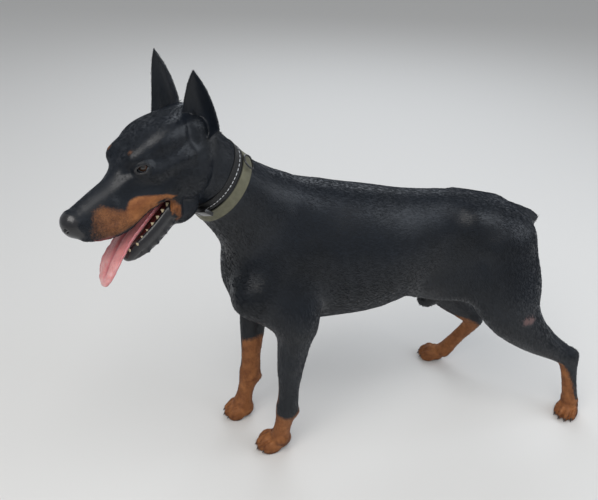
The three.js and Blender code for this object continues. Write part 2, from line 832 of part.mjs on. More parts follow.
const clear = GAP + STRAP_THICKNESS + 2.2;
const ringPlace = onNeckMatrix(onNeck(wideStrapAt, RING_TURN, clear + RING_WIRE + 1.2));
const ringShape = new THREE.TorusGeometry(RING_RADIUS, RING_WIRE, 6, 18).scale(1, 0.75, 1);
add("collar_ring", placed(ringShape, ringPlace), metalBlack);
const bucklePlace = onNeckMatrix(onNeck(narrowStrapAt, BUCKLE_TURN, clear + 2 + BUCKLE_SIZE[2] / 2));
const buckle = placed(new THREE.BoxGeometry(...BUCKLE_SIZE), bucklePlace);
const webbingGrown = strap(narrowStrapAt.place, narrowStrapAt.normal, NARROW_STRAP, 1.2, GAP);
const strapGrown = strap(wideStrapAt.place, wideStrapAt.normal, WIDE_STRAP, 1.2, GAP);
add("collar_buckle", without(buckle, neckGrown, webbingGrown, strapGrown), webbing);

// The origin goes under the middle of the whole animal, on the floor.
const box = new THREE.Box3().setFromObject(group);
const middle = box.getCenter(new THREE.Vector3());
for (const mesh of group.children) {
  mesh.geometry.translate(-middle.x, -middle.y, -box.min.z);
}

export default group;
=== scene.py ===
import math

import bmesh
import bpy
import numpy as np
from bpy.props import (
    FloatProperty,
    FloatVectorProperty,
    IntProperty,
    PointerProperty,
)
from bpy.types import Operator, Panel, PropertyGroup
from mathutils import Matrix, Vector


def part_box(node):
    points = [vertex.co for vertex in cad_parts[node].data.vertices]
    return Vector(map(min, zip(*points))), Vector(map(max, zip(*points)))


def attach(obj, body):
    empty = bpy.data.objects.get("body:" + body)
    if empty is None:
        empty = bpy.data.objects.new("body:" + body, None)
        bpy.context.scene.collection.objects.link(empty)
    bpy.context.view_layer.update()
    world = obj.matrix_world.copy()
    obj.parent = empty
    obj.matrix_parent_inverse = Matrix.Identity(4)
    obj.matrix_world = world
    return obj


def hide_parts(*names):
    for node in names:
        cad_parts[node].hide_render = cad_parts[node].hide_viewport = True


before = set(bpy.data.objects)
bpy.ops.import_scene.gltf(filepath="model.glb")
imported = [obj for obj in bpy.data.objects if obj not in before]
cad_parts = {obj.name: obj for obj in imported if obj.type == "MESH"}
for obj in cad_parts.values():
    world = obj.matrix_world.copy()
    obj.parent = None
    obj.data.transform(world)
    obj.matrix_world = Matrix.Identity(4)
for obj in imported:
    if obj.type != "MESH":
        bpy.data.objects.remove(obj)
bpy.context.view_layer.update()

bl_info = {
    "name": "Doberman Pinscher Figure",
    "version": (1, 0, 0),
    "blender": (4, 5, 0),
    "location": "View3D > Sidebar > Dog",
    "description": "Builds a life-size standing dog with its coat, collars and stage",
    "category": "Add Mesh",
}

MM = 1000  # millimetres in a metre
L, R = -1, 1  # the sign of y on the dog's left and right
HEAD_YAW, HEAD_PITCH, HEAD_ROLL = 35.5, 17.3, 8.9
JAW_OPENING = 24.0
OCCIPUT = (-234, -89, 906)
JAW_HINGE = (48, 0, -112)
EYE_CENTRE = (127, 33, -43)
EYE_RADIUS = 13.0

ELBOW = {L: (-4, -92, 366), R: (-56, 90, 366)}
WRIST = {L: (-20, -81, 138), R: (-80, 74, 128)}
FORE_FOOT = {L: (-34, -76, 44), R: (-100, 69, 42)}
HIP = {L: (474, -66, 520), R: (456, 66, 520)}
THIGH = {L: (498, -96, 410), R: (428, 92, 430)}
STIFLE = {L: (530, -108, 335), R: (420, 100, 345)}
GASKIN = {L: (592, -114, 268), R: (462, 106, 268)}
HOCK = {L: (704, -120, 186), R: (563, 114, 160)}
HIND_FOOT = {L: (738, -124, 44), R: (500, 146, 42)}
FORE_SOLE = {L: ((-4, -62, 0), (-92, -66, 0)), R: ((-74, 60, 0), (-150, 70, 0))}
HIND_SOLE = {L: ((764, -104, 0), (704, -154, 0)), R: ((506, 148, 0), (446, 191, 0))}


def arr(p):
    return np.asarray(p, dtype=float)


def add(p, d, t=1.0):
    return arr(p) + arr(d) * t


def mix(a, b, t):
    return arr(a) + (arr(b) - arr(a)) * t


def unit(v):
    v = arr(v)
    return v / np.linalg.norm(v)


def turn_x(degrees):
    c, s = math.cos(math.radians(degrees)), math.sin(math.radians(degrees))
    return np.array([[1, 0, 0], [0, c, -s], [0, s, c]])


def turn_y(degrees):
    c, s = math.cos(math.radians(degrees)), math.sin(math.radians(degrees))
    return np.array([[c, 0, s], [0, 1, 0], [-s, 0, c]])


def turn_z(degrees):
    c, s = math.cos(math.radians(degrees)), math.sin(math.radians(degrees))
    return np.array([[c, -s, 0], [s, c, 0], [0, 0, 1]])


HEAD_TURN = turn_z(180 + HEAD_YAW) @ turn_y(HEAD_PITCH) @ turn_x(HEAD_ROLL)
JAW_TURN = turn_y(JAW_OPENING)


def from_head(p):
    return arr(p) @ HEAD_TURN.T + arr(OCCIPUT)


def to_head(p):
    return (arr(p) - arr(OCCIPUT)) @ HEAD_TURN


def from_jaw(p):
    return (arr(p) - arr(JAW_HINGE)) @ JAW_TURN.T + arr(JAW_HINGE)


def to_jaw(p):
    return (arr(p) - arr(JAW_HINGE)) @ JAW_TURN + arr(JAW_HINGE)


# The row frame's origin, found from where the left eye lies in the frame.
EYE_BOX = [arr(corner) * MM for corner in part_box("eye_left")]
SHIFT = (EYE_BOX[0] + EYE_BOX[1]) / 2 - from_head(EYE_CENTRE)


def to_row(p):
    return (arr(p) + SHIFT) / MM


def to_withers(p):
    return arr(p) * MM - SHIFT


FAR = 400.0  # stands for the distance of places outside a form's reach
REACH_MARGIN = 55  # how far past its own size a form is worked out
TINY = 1e-9


class Form:
    """A rough distance to a shape, negative inside, and the solids it is made of."""

    def __init__(self, distance, solids):
        self.distance = distance
        self.solids = solids

    def __call__(self, points):
        return self.distance(points)


def ellipsoid_distance(q, radii):
    """Rough distance where q is the offset in the ellipsoid's own axes."""
    scaled = q / radii
    near = np.linalg.norm(scaled, axis=1)
    slope = np.maximum(np.linalg.norm(scaled / radii, axis=1), TINY)
    return np.where(slope > TINY, near * (near - 1) / slope, -radii.min(axis=-1))


def bone(a, b, size_a, size_b, side=(0, 1, 0)):
    """A limb between two places, with half widths across and deep at each end."""
    a, b = arr(a), arr(b)
    length = np.linalg.norm(b - a)
    run_way = (b - a) / length
    across = unit(arr(side) - run_way * (arr(side) @ run_way))
    deep = np.cross(run_way, across)
    size_a, size_b = arr(size_a), arr(size_b)
    middle = (a + b) / 2
    reach = length / 2 + max(size_a.max(), size_b.max()) + REACH_MARGIN

    def distance(points):
        result = np.full(len(points), FAR)
        near = ((points - middle) ** 2).sum(1) < reach * reach
        if not near.any():
            return result
        d = points[near] - a
        along = d @ run_way
        t = np.clip(along / length, 0, 1)
        wide = size_a[0] + (size_b[0] - size_a[0]) * t
        tall = size_a[1] + (size_b[1] - size_a[1]) * t
        radii = np.stack([wide, tall, np.minimum(wide, tall)], 1)
        q = np.stack([d @ across, d @ deep, along - t * length], 1)
        result[near] = ellipsoid_distance(q, radii)
        return result

    axes = np.stack([across, deep, run_way])
    ends = [(a, (*size_a, min(size_a)), axes), (b, (*size_b, min(size_b)), axes)]
    return Form(distance, [ends])


def mass(centre, radii, turn=0, tip=0):
    """An ellipsoid turned about Z and then about its own Y, in degrees."""
    centre, radii = arr(centre), arr(radii)
    axes = (turn_z(turn) @ turn_y(tip)).T
    reach = radii.max() + REACH_MARGIN

    def distance(points):
        result = np.full(len(points), FAR)
        near = ((points - centre) ** 2).sum(1) < reach * reach
        if near.any():
            result[near] = ellipsoid_distance((points[near] - centre) @ axes.T, radii)
        return result

    return Form(distance, [[(centre, radii, axes)]])


def smooth_path(stations, steps):
    """Stations and their sizes, filled in along a centripetal curve."""
    rows = [np.concatenate([arr(place), arr(size)]) for place, size in stations]
    out = []
    count = len(rows)
    for i in range(count - 1):
        p1, p2 = rows[i], rows[i + 1]
        p0 = rows[i - 1] if i else 2 * p1 - p2
        p3 = rows[i + 2] if i + 2 < count else 2 * p2 - p1
        for j in range(steps):
            t = j / steps
            out.append(
                0.5
                * (
                    2 * p1
                    + (p2 - p0) * t
                    + (2 * p0 - 5 * p1 + 4 * p2 - p3) * t * t
                    + (3 * p1 - p0 - 3 * p2 + p3) * t**3
                )
            )
    out.append(rows[-1])
    return out


def run(stations, side=(0, 1, 0), steps=3):
    """A tapering run of stations [place, (across, deep)], rounded between them."""
    rows = smooth_path(stations, steps)
    pieces = [bone(p[:3], q[:3], p[3:], q[3:], side) for p, q in zip(rows, rows[1:])]

    def distance(points):
        result = np.full(len(points), FAR)
        for piece in pieces:
            result = np.minimum(result, piece(points))
        return result

    return Form(distance, [solid for piece in pieces for solid in piece.solids])


def join(a, b, k):
    h = np.maximum(k - np.abs(a - b), 0) / k
    return np.minimum(a, b) - h * h * k / 4


def blend(k, *forms):
    def distance(points):
        result = forms[0](points)
        for form in forms[1:]:
            result = join(result, form(points), k)
        return result

    return Form(distance, [solid for form in forms for solid in form.solids])


def placed(form, turn, outward, inward):
    """A form moved from its own frame into the next one out."""
    solids = [
        [(outward(centre), radii, axes @ turn.T) for centre, radii, axes in solid]
        for solid in form.solids
    ]
    return Form(lambda points: form(inward(points)), solids)


# Trunk, neck and legs.
TRUNK = run([
    [(-98, 0, 476), (54, 66)],
    [(-44, 0, 514), (84, 126)],
    [(30, 0, 517), (98, 167)],
    [(110, 0, 511), (112, 161)],
    [(190, 0, 506), (110, 150)],
    [(270, 0, 516), (92, 128)],
    [(340, 0, 528), (80, 108)],
    [(420, 0, 524), (84, 94)],
    [(500, 0, 504), (80, 78)],
    [(540, 0, 492), (60, 62)],
])
NECK = run([
    [(0, 0, 580), (80, 112)],
    [(-56, -10, 618), (76, 104)],
    [(-110, -30, 670), (67, 86)],
    [(-162, -54, 732), (60, 74)],
    [(-205, -74, 794), (55, 67)],
    [(-240, -92, 838), (48, 56)],
])


def shoulder_point(side):
    return (-98, -82, 470) if side == L else (-82, 72, 470)


def shoulder_forms(side):
    return [
        bone((10, side * 30, 640), shoulder_point(side), (28, 56), (40, 50)),
        bone(shoulder_point(side), add(ELBOW[side], (0, 0, 30)), (40, 50), (34, 40)),
        bone((20, side * 62, 560), add(ELBOW[side], (2, 0, 44)), (34, 50), (32, 32)),
        mass((-94, side * 34, 452), (42, 42, 56)),
        mass((-22, side * 80, 440), (52, 27, 66)),
    ]


def hip_form(side):
    return bone((400, side * 44, 560), (505, side * 48, 535), (40, 46), (42, 50))


NECK_BASE = bone((-90, 4, 520), (-106, -22, 640), (66, 46), (62, 52))
BODY = blend(
    28, TRUNK, NECK, NECK_BASE, *shoulder_forms(L), *shoulder_forms(R), hip_form(L), hip_form(R)
)
SHEATH = run([
    [(334, 0, 350), (13, 17)],
    [(352, 0, 340), (16, 26)],
    [(398, 0, 392), (18, 40)],
])
TAIL = run([
    [(500, 0, 547), (34, 34)],
    [(540, 0, 554), (25, 25)],
    [(575, 0, 547), (19, 19)],
    [(595, 0, 541), (14, 14)],
])


def fore_leg(side):
    elbow, wrist, foot = ELBOW[side], WRIST[side], FORE_FOOT[side]
    return blend(
        16,
        run([
            [add(elbow, (-2, 0, 60)), (35, 41)],
            [add(elbow, (-3, 0, 0)), (31, 41)],
            [mix(elbow, wrist, 0.4) + arr((-4, 0, 0)), (26, 33)],
            [mix(elbow, wrist, 0.75) + arr((-2, 0, 0)), (22, 25)],
            [wrist, (24, 26)],
            [mix(wrist, foot, 0.55), (21, 21)],
            [foot, (25, 22)],
        ]),
        mass(add(elbow, (24, 0, 0)), (15, 18, 26)),
        mass(add(wrist, (24, 0, -16)), (9, 11, 13)),
    )


def hind_leg(side):
    hip, stifle, hock, foot = HIP[side], STIFLE[side], HOCK[side], HIND_FOOT[side]
    return blend(
        18,
        run([
            [hip, (46, 88)],
            [THIGH[side], (47, 88)],
            [stifle, (40, 64)],
            [GASKIN[side], (32, 43)],
            [mix(GASKIN[side], hock, 0.6), (23, 29)],
            [add(hock, (-4, 0, 0)), (20, 26)],
            [mix(hock, foot, 0.5), (18, 20)],
            [foot, (22, 21)],
        ]),
        mass(add(hock, (14, 0, 7)), (12, 12, 15)),
        bone(
            (372, side * 56, 500),
            add(THIGH[side], (-30, -side * 6, 0)),
            (24, 40),
            (30, 50),
        ),
        run([
            [(296, side * 34, 398), (14, 18)],
            [(336, side * 46, 396), (18, 23)],
            [(372, side * 62, 402), (20, 26)],
            [(416, side * 84, 414), (26, 32)],
        ]),
        bone((322, side * 50, 430), (430, side * 74, 456), (26, 34), (28, 48)),
    )


TOES = [(-0.36, 0.6), (-0.13, 0.72), (0.13, 0.72), (0.36, 0.6)]


def paw_frame(sole):
    heel, toe = arr(sole[0]), arr(sole[1])
    ahead = unit(toe - heel)
    across = np.cross((0, 0, 1), ahead)
    length = np.linalg.norm(toe - heel)
    turn = math.degrees(math.atan2(ahead[1], ahead[0]))
    return heel, ahead, across, length, turn


def paw(sole, width, height):
    heel, ahead, across, length, turn = paw_frame(sole)

    def at(forward, sideways, up):
        return heel + ahead * forward * length + across * sideways * width + arr((0, 0, up))

    forms = [
        mass(
            at(0.4, 0, height * 0.48), (length * 0.4, width * 0.42, height * 0.54), turn, 6
        )
    ]
    for sideways, forward in TOES:
        size = (length * 0.27, width * 0.155, height * 0.38)
        forms.append(mass(at(forward, sideways, height * 0.34), size, turn, 8))
    return blend(4, *forms)


# The head in its own frame: x ahead of the occiput, y to its left, z up.
def head_side(side):
    return [
        run([
            [(266, side * -13, -88), (8, 14)],
            [(235, side * -21, -99), (9, 20)],
            [(200, side * -27, -105), (9, 21)],
            [(160, side * -35, -99), (9, 18)],
            [(122, side * -41, -98), (9, 22)],
        ]),
        bone((118, side * -44, -62), (50, side * -52, -68), (10, 13), (12, 15)),
        mass((72, side * -34, -28), (48, 24, 26)),
        mass((126, side * -27, -26), (24, 17, 15)),
        mass((60, side * -44, -104), (40, 17, 44)),
        bone((100, side * -45, -112), (116, side * -40, -152), (8, 12), (7, 9)),
        mass((90, side * -23, -160), (36, 19, 27)),
        mass((90, side * -42, -94), (28, 14, 20)),
        bone((26, side * -44, -92), (4, side * -46, -36), (14, 20), (12, 22)),
        mass((EYE_CENTRE[0], side * -EYE_CENTRE[1], EYE_CENTRE[2]), (16, 16, 15)),
    ]


HEAD_OWN = blend(
    13,
    run([
        [(6, 0, -52), (44, 46)],
        [(55, 0, -50), (55, 51)],
        [(105, 0, -50), (52, 49)],
        [(140, 0, -62), (41, 40)],
        [(175, 0, -72), (33, 34)],
        [(215, 0, -73), (28, 32)],
        [(252, 0, -72), (25, 28)],
        [(268, 0, -70), (21, 23)],
    ]),
    mass((270, 0, -63), (15, 18, 17)),
    *head_side(L),
    *head_side(R),
    bone((70, 0, -138), (14, 0, -146), (34, 28), (40, 34)),
)


def jaw_ridge(side):
    return run([
        [(84, side * 32, -117), (8, 13)],
        [(150, side * 29, -113), (7, 13)],
        [(196, side * 21, -106), (7, 12)],
        [(224, side * 9, -101), (6, 8)],
    ])


JAW_OWN = blend(
    8,
    run([
        [(70, 0, -130), (36, 22)],
        [(130, 0, -129), (32, 20)],
        [(184, 0, -122), (27, 18)],
        [(217, 0, -111), (20, 14)],
        [(230, 0, -106), (13, 9)],
    ]),
    jaw_ridge(L),
    jaw_ridge(R),
)
HEAD = placed(HEAD_OWN, HEAD_TURN, from_head, to_head)
JAW = placed(placed(JAW_OWN, JAW_TURN, from_jaw, to_jaw), HEAD_TURN, from_head, to_head)
FORELEGS = [fore_leg(L), fore_leg(R)]
HIND_LEGS = [hind_leg(L), hind_leg(R)]
# Each sole with its paw's width and height.
FEET = [(FORE_SOLE[side], 60, 48) for side in (L, R)]
FEET += [(HIND_SOLE[side], 56, 44) for side in (L, R)]
# Each part in the order of joining, with the reach of the fillet where it joins the rest.
PARTS = [
    *((leg, 34) for leg in HIND_LEGS),
    *((leg, 26) for leg in FORELEGS),
    *((paw(*foot), 9) for foot in FEET),
    (TAIL, 18),
    (SHEATH, 14),
    (HEAD, 26),
    (JAW, 6),
]


def whole_distance(points):
    result = BODY(points)
    for form, reach in PARTS:
        result = join(result, form(points), reach)
    return result


DOG = Form(whole_distance, BODY.solids + [solid for form, _ in PARTS for solid in form.solids])


def hull_mesh(bm, solid):
    """Adds one hull round the ellipsoids at a form's ends, in metres in the row frame."""
    made = []
    for centre, radii, axes in solid:
        ball = bmesh.new()
        bmesh.ops.create_icosphere(ball, subdivisions=2, radius=1.0)
        spots = arr([vert.co[:] for vert in ball.verts])
        ball.free()
        spots = to_row(arr(centre) + (spots * arr(radii)) @ arr(axes))
        made += [bm.verts.new(spot) for spot in spots]
    hull = bmesh.ops.convex_hull(bm, input=made)
    left_over = hull["geom_interior"] + hull["geom_unused"]
    spare = {item for item in left_over if isinstance(item, bmesh.types.BMVert)}
    bmesh.ops.delete(bm, geom=list(spare), context="VERTS")


def applied(obj):
    """The object's mesh with its modifiers worked in."""
    depsgraph = bpy.context.evaluated_depsgraph_get()
    mesh = bpy.data.meshes.new_from_object(obj.evaluated_get(depsgraph))
    obj.modifiers.clear()
    old = obj.data
    obj.data = mesh
    bpy.data.meshes.remove(old)
    return mesh


def remeshed(name, form, voxel):
    bm = bmesh.new()
    for solid in form.solids:
        hull_mesh(bm, solid)
    mesh = bpy.data.meshes.new(name)
    bm.to_mesh(mesh)
    bm.free()
    obj = bpy.data.objects.new(name, mesh)
    bpy.context.scene.collection.objects.link(obj)
    remesh = obj.modifiers.new("Body", "REMESH")
    remesh.mode = "VOXEL"
    remesh.voxel_size = voxel
    applied(obj)
    return obj


def read(items, name, width=1, kind=float):
    """The values of one name on vertices, edges, loops or faces, a row for each."""
    values = np.empty(len(items) * width, dtype=kind)
    items.foreach_get(name, values)
    return values.reshape(-1, width) if width > 1 else values


def coordinates(mesh):
    return read(mesh.vertices, "co", 3)


def set_coordinates(mesh, co):
    mesh.vertices.foreach_set("co", np.ascontiguousarray(co, dtype=np.float32).ravel())
    mesh.update()


def slope(form, points, step=0.6):
    """A form's distances and the gradients of these."""
    value = form(points)
    ways = ((1, 0, 0), (0, 1, 0), (0, 0, 1))
    grad = np.stack([(form(points + arr(way) * step) - value) / step for way in ways], 1)
    return value, grad


def settle(form, points, rounds=2, most=6.0):
    """Moves points onto the form's surface, in millimetres."""
    for _ in range(rounds):
        value, grad = slope(form, points)
        move = value / np.maximum((grad**2).sum(1), 0.05)
        points = points - grad * np.clip(move, -most, most)[:, None]
    return points


def smooth_points(mesh, co, rounds, factor, mask=None):
    """Relaxes points towards their neighbours' mean."""
    a, b = read(mesh.edges, "vertices", 2, np.int64).T
    count = np.bincount(a, minlength=len(co)) + np.bincount(b, minlength=len(co))
    weight = factor if mask is None else (factor * mask)[:, None]
    for _ in range(rounds):
        total = np.zeros_like(co)
        for axis in range(3):
            total[:, axis] = np.bincount(a, co[b, axis], len(co))
            total[:, axis] += np.bincount(b, co[a, axis], len(co))
        co = co + (total / np.maximum(count, 1)[:, None] - co) * weight
    return co


def step_between(x, low, high):
    t = np.clip((x - low) / (high - low), 0, 1)
    return t * t * (3 - 2 * t)


# Fine forms laid over the big ones: [start, end, radius, height] in millimetres.
def body_ridges():
    rows = [
        ((0, 0, 712), (420, 0, 628), 9, -2.2),
        ((-60, -8, 742), (-10, 0, 714), 22, 3.0),
        ((-128, 0, 500), (-112, 0, 400), 10, -2.0),
        ((110, 0, 352), (300, 0, 386), 26, -1.5),
    ]
    for side in (L, R):
        e, w, f = ELBOW[side], WRIST[side], FORE_FOOT[side]
        h, t, s = HIP[side], THIGH[side], STIFLE[side]
        g, k, d = GASKIN[side], HOCK[side], HIND_FOOT[side]
        out = side  # turns y away from the middle
        rows += [
            ((-6, out * 62, 660), (44, out * 104, 480), 19, -3.0),
            ((-52, out * 50, 680), (-94, out * 82, 490), 22, 2.2),
            ((-40, out * 98, 520), (14, out * 104, 430), 28, 2.6),
            ((30, out * 100, 470), add(e, (34, out * 12, 8)), 14, 3.2),
            ((-118, out * 44, 500), (-96, out * 60, 400), 12, -1.6),
            (add(e, (-26, out * 20, 60)), add(e, (-8, out * 28, -30)), 14, 2.6),
            (add(e, (12, out * 26, -30)), mix(e, w, 0.6) + arr((8, out * 20, 0)), 9, -2.0),
            (add(e, (-8, out * 24, -20)), mix(e, w, 0.4) + arr((-6, out * 22, 0)), 13, 2.6),
            (mix(e, w, 0.5) + arr((20, 0, 0)), add(w, (22, 0, 12)), 8, 1.8),
            (add(w, (-20, out * 6, 8)), add(w, (-20, out * 4, -8)), 14, 2.2),
            (add(f, (-20, 0, 10)), add(w, (-16, 0, -30)), 7, 1.2),
            ((346, out * 66, 540), (372, out * 78, 480), 30, -3.0),
            ((392, out * 66, 612), (404, out * 74, 596), 17, 2.0),
            ((560, out * 40, 548), (572, out * 50, 530), 16, 3.5),
            (add(h, (6, out * 36, 20)), add(t, (4, out * 40, 0)), 40, 3.5),
            (add(h, (64, out * 30, -10)), add(t, (66, out * 24, -40)), 12, -4.5),
            (add(h, (-52, out * 34, -10)), add(s, (-52, out * 26, 30)), 12, -3.5),
            (add(s, (-44, out * 6, -8)), add(s, (-34, out * 8, -30)), 15, 3.4),
            (add(g, (22, out * 12, 18)), add(k, (-14, out * 12, 30)), 9, -4.6),
            (add(g, (34, 0, 24)), add(k, (18, 0, 22)), 9, 3.4),
            (add(g, (-10, out * 24, 20)), mix(g, k, 0.5) + arr((-12, out * 18, 6)), 14, 2.4),
            (add(k, (14, 0, 8)), add(k, (12, 0, -10)), 10, 3.4),
            (add(k, (-4, out * 16, -8)), add(k, (-2, out * 14, -30)), 8, -2.2),
            (add(k, (-18, 0, -14)), mix(k, d, 0.7) + arr((-18, 0, 0)), 7, 1.6),
            ((-190, out * 40 - 66, 760), (-110, out * 52 - 22, 560), 16, -3.4),
            ((-214, out * 44 - 78, 812), (-80, out * 60 - 12, 620), 20, 2.6),
        ]
        for i in range(6):
            x = 66 + 34 * i
            rows.append(((x, out * 112, 610), (x + 30, out * 106, 450), 9, 1.1))  # a rib
        for sole, width, _ in FEET[(0 if side == L else 1)::2]:
            heel, ahead, across, length, _ = paw_frame(sole)
            for sideways in (-0.25, 0, 0.25):
                start = heel + ahead * 0.52 * length + across * sideways * width
                end = heel + ahead * 0.92 * length + across * sideways * width * 1.05
                rows.append((start + arr((0, 0, 42)), end + arr((0, 0, 12)), 4.5, -3.2))
            for sideways, forward in TOES:
                knuckle = heel + ahead * (forward + 0.04) * length + across * sideways * width
                top = knuckle + arr((0, 0, 34))
                rows.append((top, top + ahead * 3, 8, 2.0))
    return rows


def head_ridges():
    rows = [
        ((60, 0, 2), (150, 0, -22), 9, -2.4),
        ((170, 0, -38), (246, 0, -44), 8, 1.2),
        ((284, 0, -68), (279, 0, -92), 2.6, -2.4),
        ((10, 0, -8), (50, 0, 2), 8, 2.0),
        ((50, 54, -72), (20, 54, -70), 5, 2.2),
    ]
    for y in (1, -1):
        rows += [
            ((256, 0, -42), (262, y * 14, -52), 3.0, -1.4),
            ((20, y * 48, -6), (46, y * 50, -36), 5, 2.6),
            ((46, y * 50, -36), (50, y * 54, -72), 5, 2.4),
            ((24, y * 52, -34), (32, y * 54, -54), 10, -3.4),
            ((128, y * 46, -60), (64, y * 57, -64), 9, 2.6),
            ((112, y * 44, -34), (84, y * 46, -38), 14, -3.0),
            ((62, y * 56, -92), (44, y * 52, -118), 24, 3.4),
            ((100, y * 50, -84), (92, y * 48, -116), 9, -2.6),
            ((156, y * 36, -60), (190, y * 31, -66), 9, -2.2),
            ((152, y * 30, -42), (166, y * 22, -40), 7, -2.4),
            ((136, y * 30, -18), (116, y * 38, -20), 9, 2.4),
            ((262, y * 19, -84), (214, y * 31, -96), 5, -1.6),
            ((262, y * 19, -80), (262, y * 16, -58), 3.2, -2.0),
            ((246, y * 22, -98), (200, y * 34, -110), 12, 2.4),
            ((170, y * 40, -94), (134, y * 46, -100), 9, 1.6),
            ((150, y * 41, -104), (124, y * 47, -116), 3.4, -1.6),
            ((124, y * 47, -116), (121, y * 47, -150), 3.4, -1.8),
        ]
        for i in range(5):
            x, z = 196 + i * 11, -98 - (i % 2) * 7
            rows.append(((x, y * 34, z), (x + 1, y * 34, z), 2.2, 0.7))
    return rows


def jaw_ridges():
    rows = []
    for y in (1, -1):
        rows.append(((92, y * 40, -122), (228, y * 19, -112), 4.5, -2.4))
        rows.append(((92, y * 40, -131), (222, y * 22, -119), 5.5, 2.2))
        for i in range(11):
            x = 104 + i * 11
            side = y * (38 - (x - 104) * 0.15)
            rows.append(((x, side, -112), (x + 5, side, -128), 3.2, 2.4 if i % 2 else -1.6))
    return rows


def ridge_height(points, rows):
    height = np.zeros(len(points))
    for a, b, radius, amount in rows:
        a, b = arr(a), arr(b)
        span = b - a
        d = points - a
        t = np.clip(d @ span / max(span @ span, TINY), 0, 1)
        gap = ((d - t[:, None] * span) ** 2).sum(1)
        height += amount * np.exp(-gap / (radius * radius))
    return height


def gaze(side):
    """Which way an eye looks, in the head's frame, where its left is +y."""
    return unit((0.66, -side * 0.74, 0.12))


def eye_place(side):
    return arr((EYE_CENTRE[0], -side * EYE_CENTRE[1], EYE_CENTRE[2]))


def eye_axes(side):
    g = gaze(side)
    across = unit(np.cross((0, 0, 1), g))
    return g, across, np.cross(g, across)


LID_OUTLINE = (12.0, 7.0)  # half width and half height of the rims round an eye


def lid_height(points):
    """Raised rims of the lids and the creases over and under them."""
    height = np.zeros(len(points))
    for side in (L, R):
        g, across, up = eye_axes(side)
        d = points - eye_place(side)
        u, v, w = d @ across / LID_OUTLINE[0], d @ up / LID_OUTLINE[1], d @ g
        ring = np.sqrt(u * u + v * v)
        ahead = step_between(w, 2, 8)
        crease = np.where(v > 0, 1.0, 0.6)
        height += ahead * 0.5 * np.exp(-(((ring - 1.2) / 0.2) ** 2))
        height -= ahead * crease * np.exp(-(((ring - 1.9) / 0.3) ** 2))
    return height


EARS = {
    L: {"root": (8, 46, -66), "tip": (-22, 56, 52), "open": (0.82, 0.57, 0.1), "width": 34},
    R: {"root": (2, -40, -50), "tip": (-40, -58, 76), "open": (1, 0.05, 0.1), "width": 45},
}
EAR_CURL, EAR_EDGE, EAR_THICKNESS = 15.0, 2.2, 3.0


def ear_shape(side):
    """A cupped blade: a tall grid bent round its own middle, then given its thickness."""
    root, tip = arr(EARS[side]["root"]), arr(EARS[side]["tip"])
    line = unit(tip - root)
    facing = arr(EARS[side]["open"])
    facing = unit(facing - line * (facing @ line))
    broad = np.cross(line, facing)
    bm = bmesh.new()
    bmesh.ops.create_grid(bm, x_segments=26, y_segments=56, size=1.0)
    for vert in bm.verts:
        s, t = vert.co.x, (vert.co.y + 1) / 2
        centre = mix(root, tip, t) - facing * 7 * math.sin(math.pi * t)
        taper = (1 - t**1.7) ** 0.85 * min(1, 0.3 + t * 5)
        wide = EARS[side]["width"] * taper + EAR_EDGE * (1 - t**8)
        bow = (EAR_CURL * (1 - t) ** 0.8 + 1.5) * (s * s - 0.35)
        fold = 4.4 * math.exp(-(((s + 0.42) / 0.14) ** 2) - ((t - 0.25) / 0.2) ** 2)
        wave = 0.8 * math.sin(s * 5 + t * 9) * t * (1 - t)
        vert.co = centre + broad * wide * s + facing * (bow + fold + wave)
    faces = list(bm.faces)
    bmesh.ops.recalc_face_normals(bm, faces=faces)
    bmesh.ops.solidify(bm, geom=faces, thickness=EAR_THICKNESS)
    axes = {f"use_axis_{letter}": True for letter in "xyz"}
    bmesh.ops.smooth_vert(bm, verts=bm.verts, factor=0.5, **axes)
    for vert in bm.verts:
        vert.co = to_row(from_head(vert.co))
    bmesh.ops.recalc_face_normals(bm, faces=bm.faces)
    return bm


def linked(name, bm):
    """A new object in the scene from a bmesh, which this frees."""
    mesh = bpy.data.meshes.new(name)
    bm.to_mesh(mesh)
    bm.free()
    obj = bpy.data.objects.new(name, mesh)
    bpy.context.scene.collection.objects.link(obj)
    return obj


def egg(centre, radii, axes, segments=20):
    """An ellipsoid in the head's frame, made in the row frame."""
    bm = bmesh.new()
    bmesh.ops.create_uvsphere(bm, u_segments=segments, v_segments=segments // 2 + 2, radius=1.0)
    for vert in bm.verts:
        spot = arr(centre) + (arr(vert.co) * arr(radii)) @ arr(axes)
        vert.co = to_row(from_head(spot))
    bmesh.ops.recalc_face_normals(bm, faces=bm.faces)
    return bm


def cut(obj, tool, operation):
    step = obj.modifiers.new("Cut", "BOOLEAN")
    step.operation = operation
    step.solver = "EXACT"
    step.object = tool
    applied(obj)
    bpy.data.meshes.remove(tool.data)


def finer(obj, wanted):
    """Splits each face whose middle is wanted into four."""
    mesh = obj.data
    chosen = wanted(to_withers(read(mesh.polygons, "center", 3)))
    bm = bmesh.new()
    bm.from_mesh(mesh)
    bm.faces.ensure_lookup_table()
    edges = {edge for i in np.nonzero(chosen)[0] for edge in bm.faces[i].edges}
    bmesh.ops.subdivide_edges(bm, edges=list(edges), cuts=1, use_grid_fill=True, smooth=0.0)
    bm.to_mesh(mesh)
    bm.free()


def head_zone(points):
    h = to_head(points)
    return (h[:, 0] > 20) & (np.abs(h[:, 1]) < 70) & (h[:, 2] > -215) & (h[:, 2] < 30)


def paw_zone(points):
    return points[:, 2] < 52


def within(points, centre, radius):
    return ((points - arr(centre)) ** 2).sum(1) < radius**2


def face_zone(points):
    """Round the eyes and the nose, and along the lower lips."""
    h = to_head(points)
    near = within(h, (276, 0, -66), 24)
    for side in (L, R):
        near |= within(h, eye_place(side) + gaze(side) * 12, 24)
    lip = to_jaw(h)
    near |= (lip[:, 0] > 90) & (lip[:, 0] < 240) & (lip[:, 2] > -134) & (JAW(points) < 2)
    return near


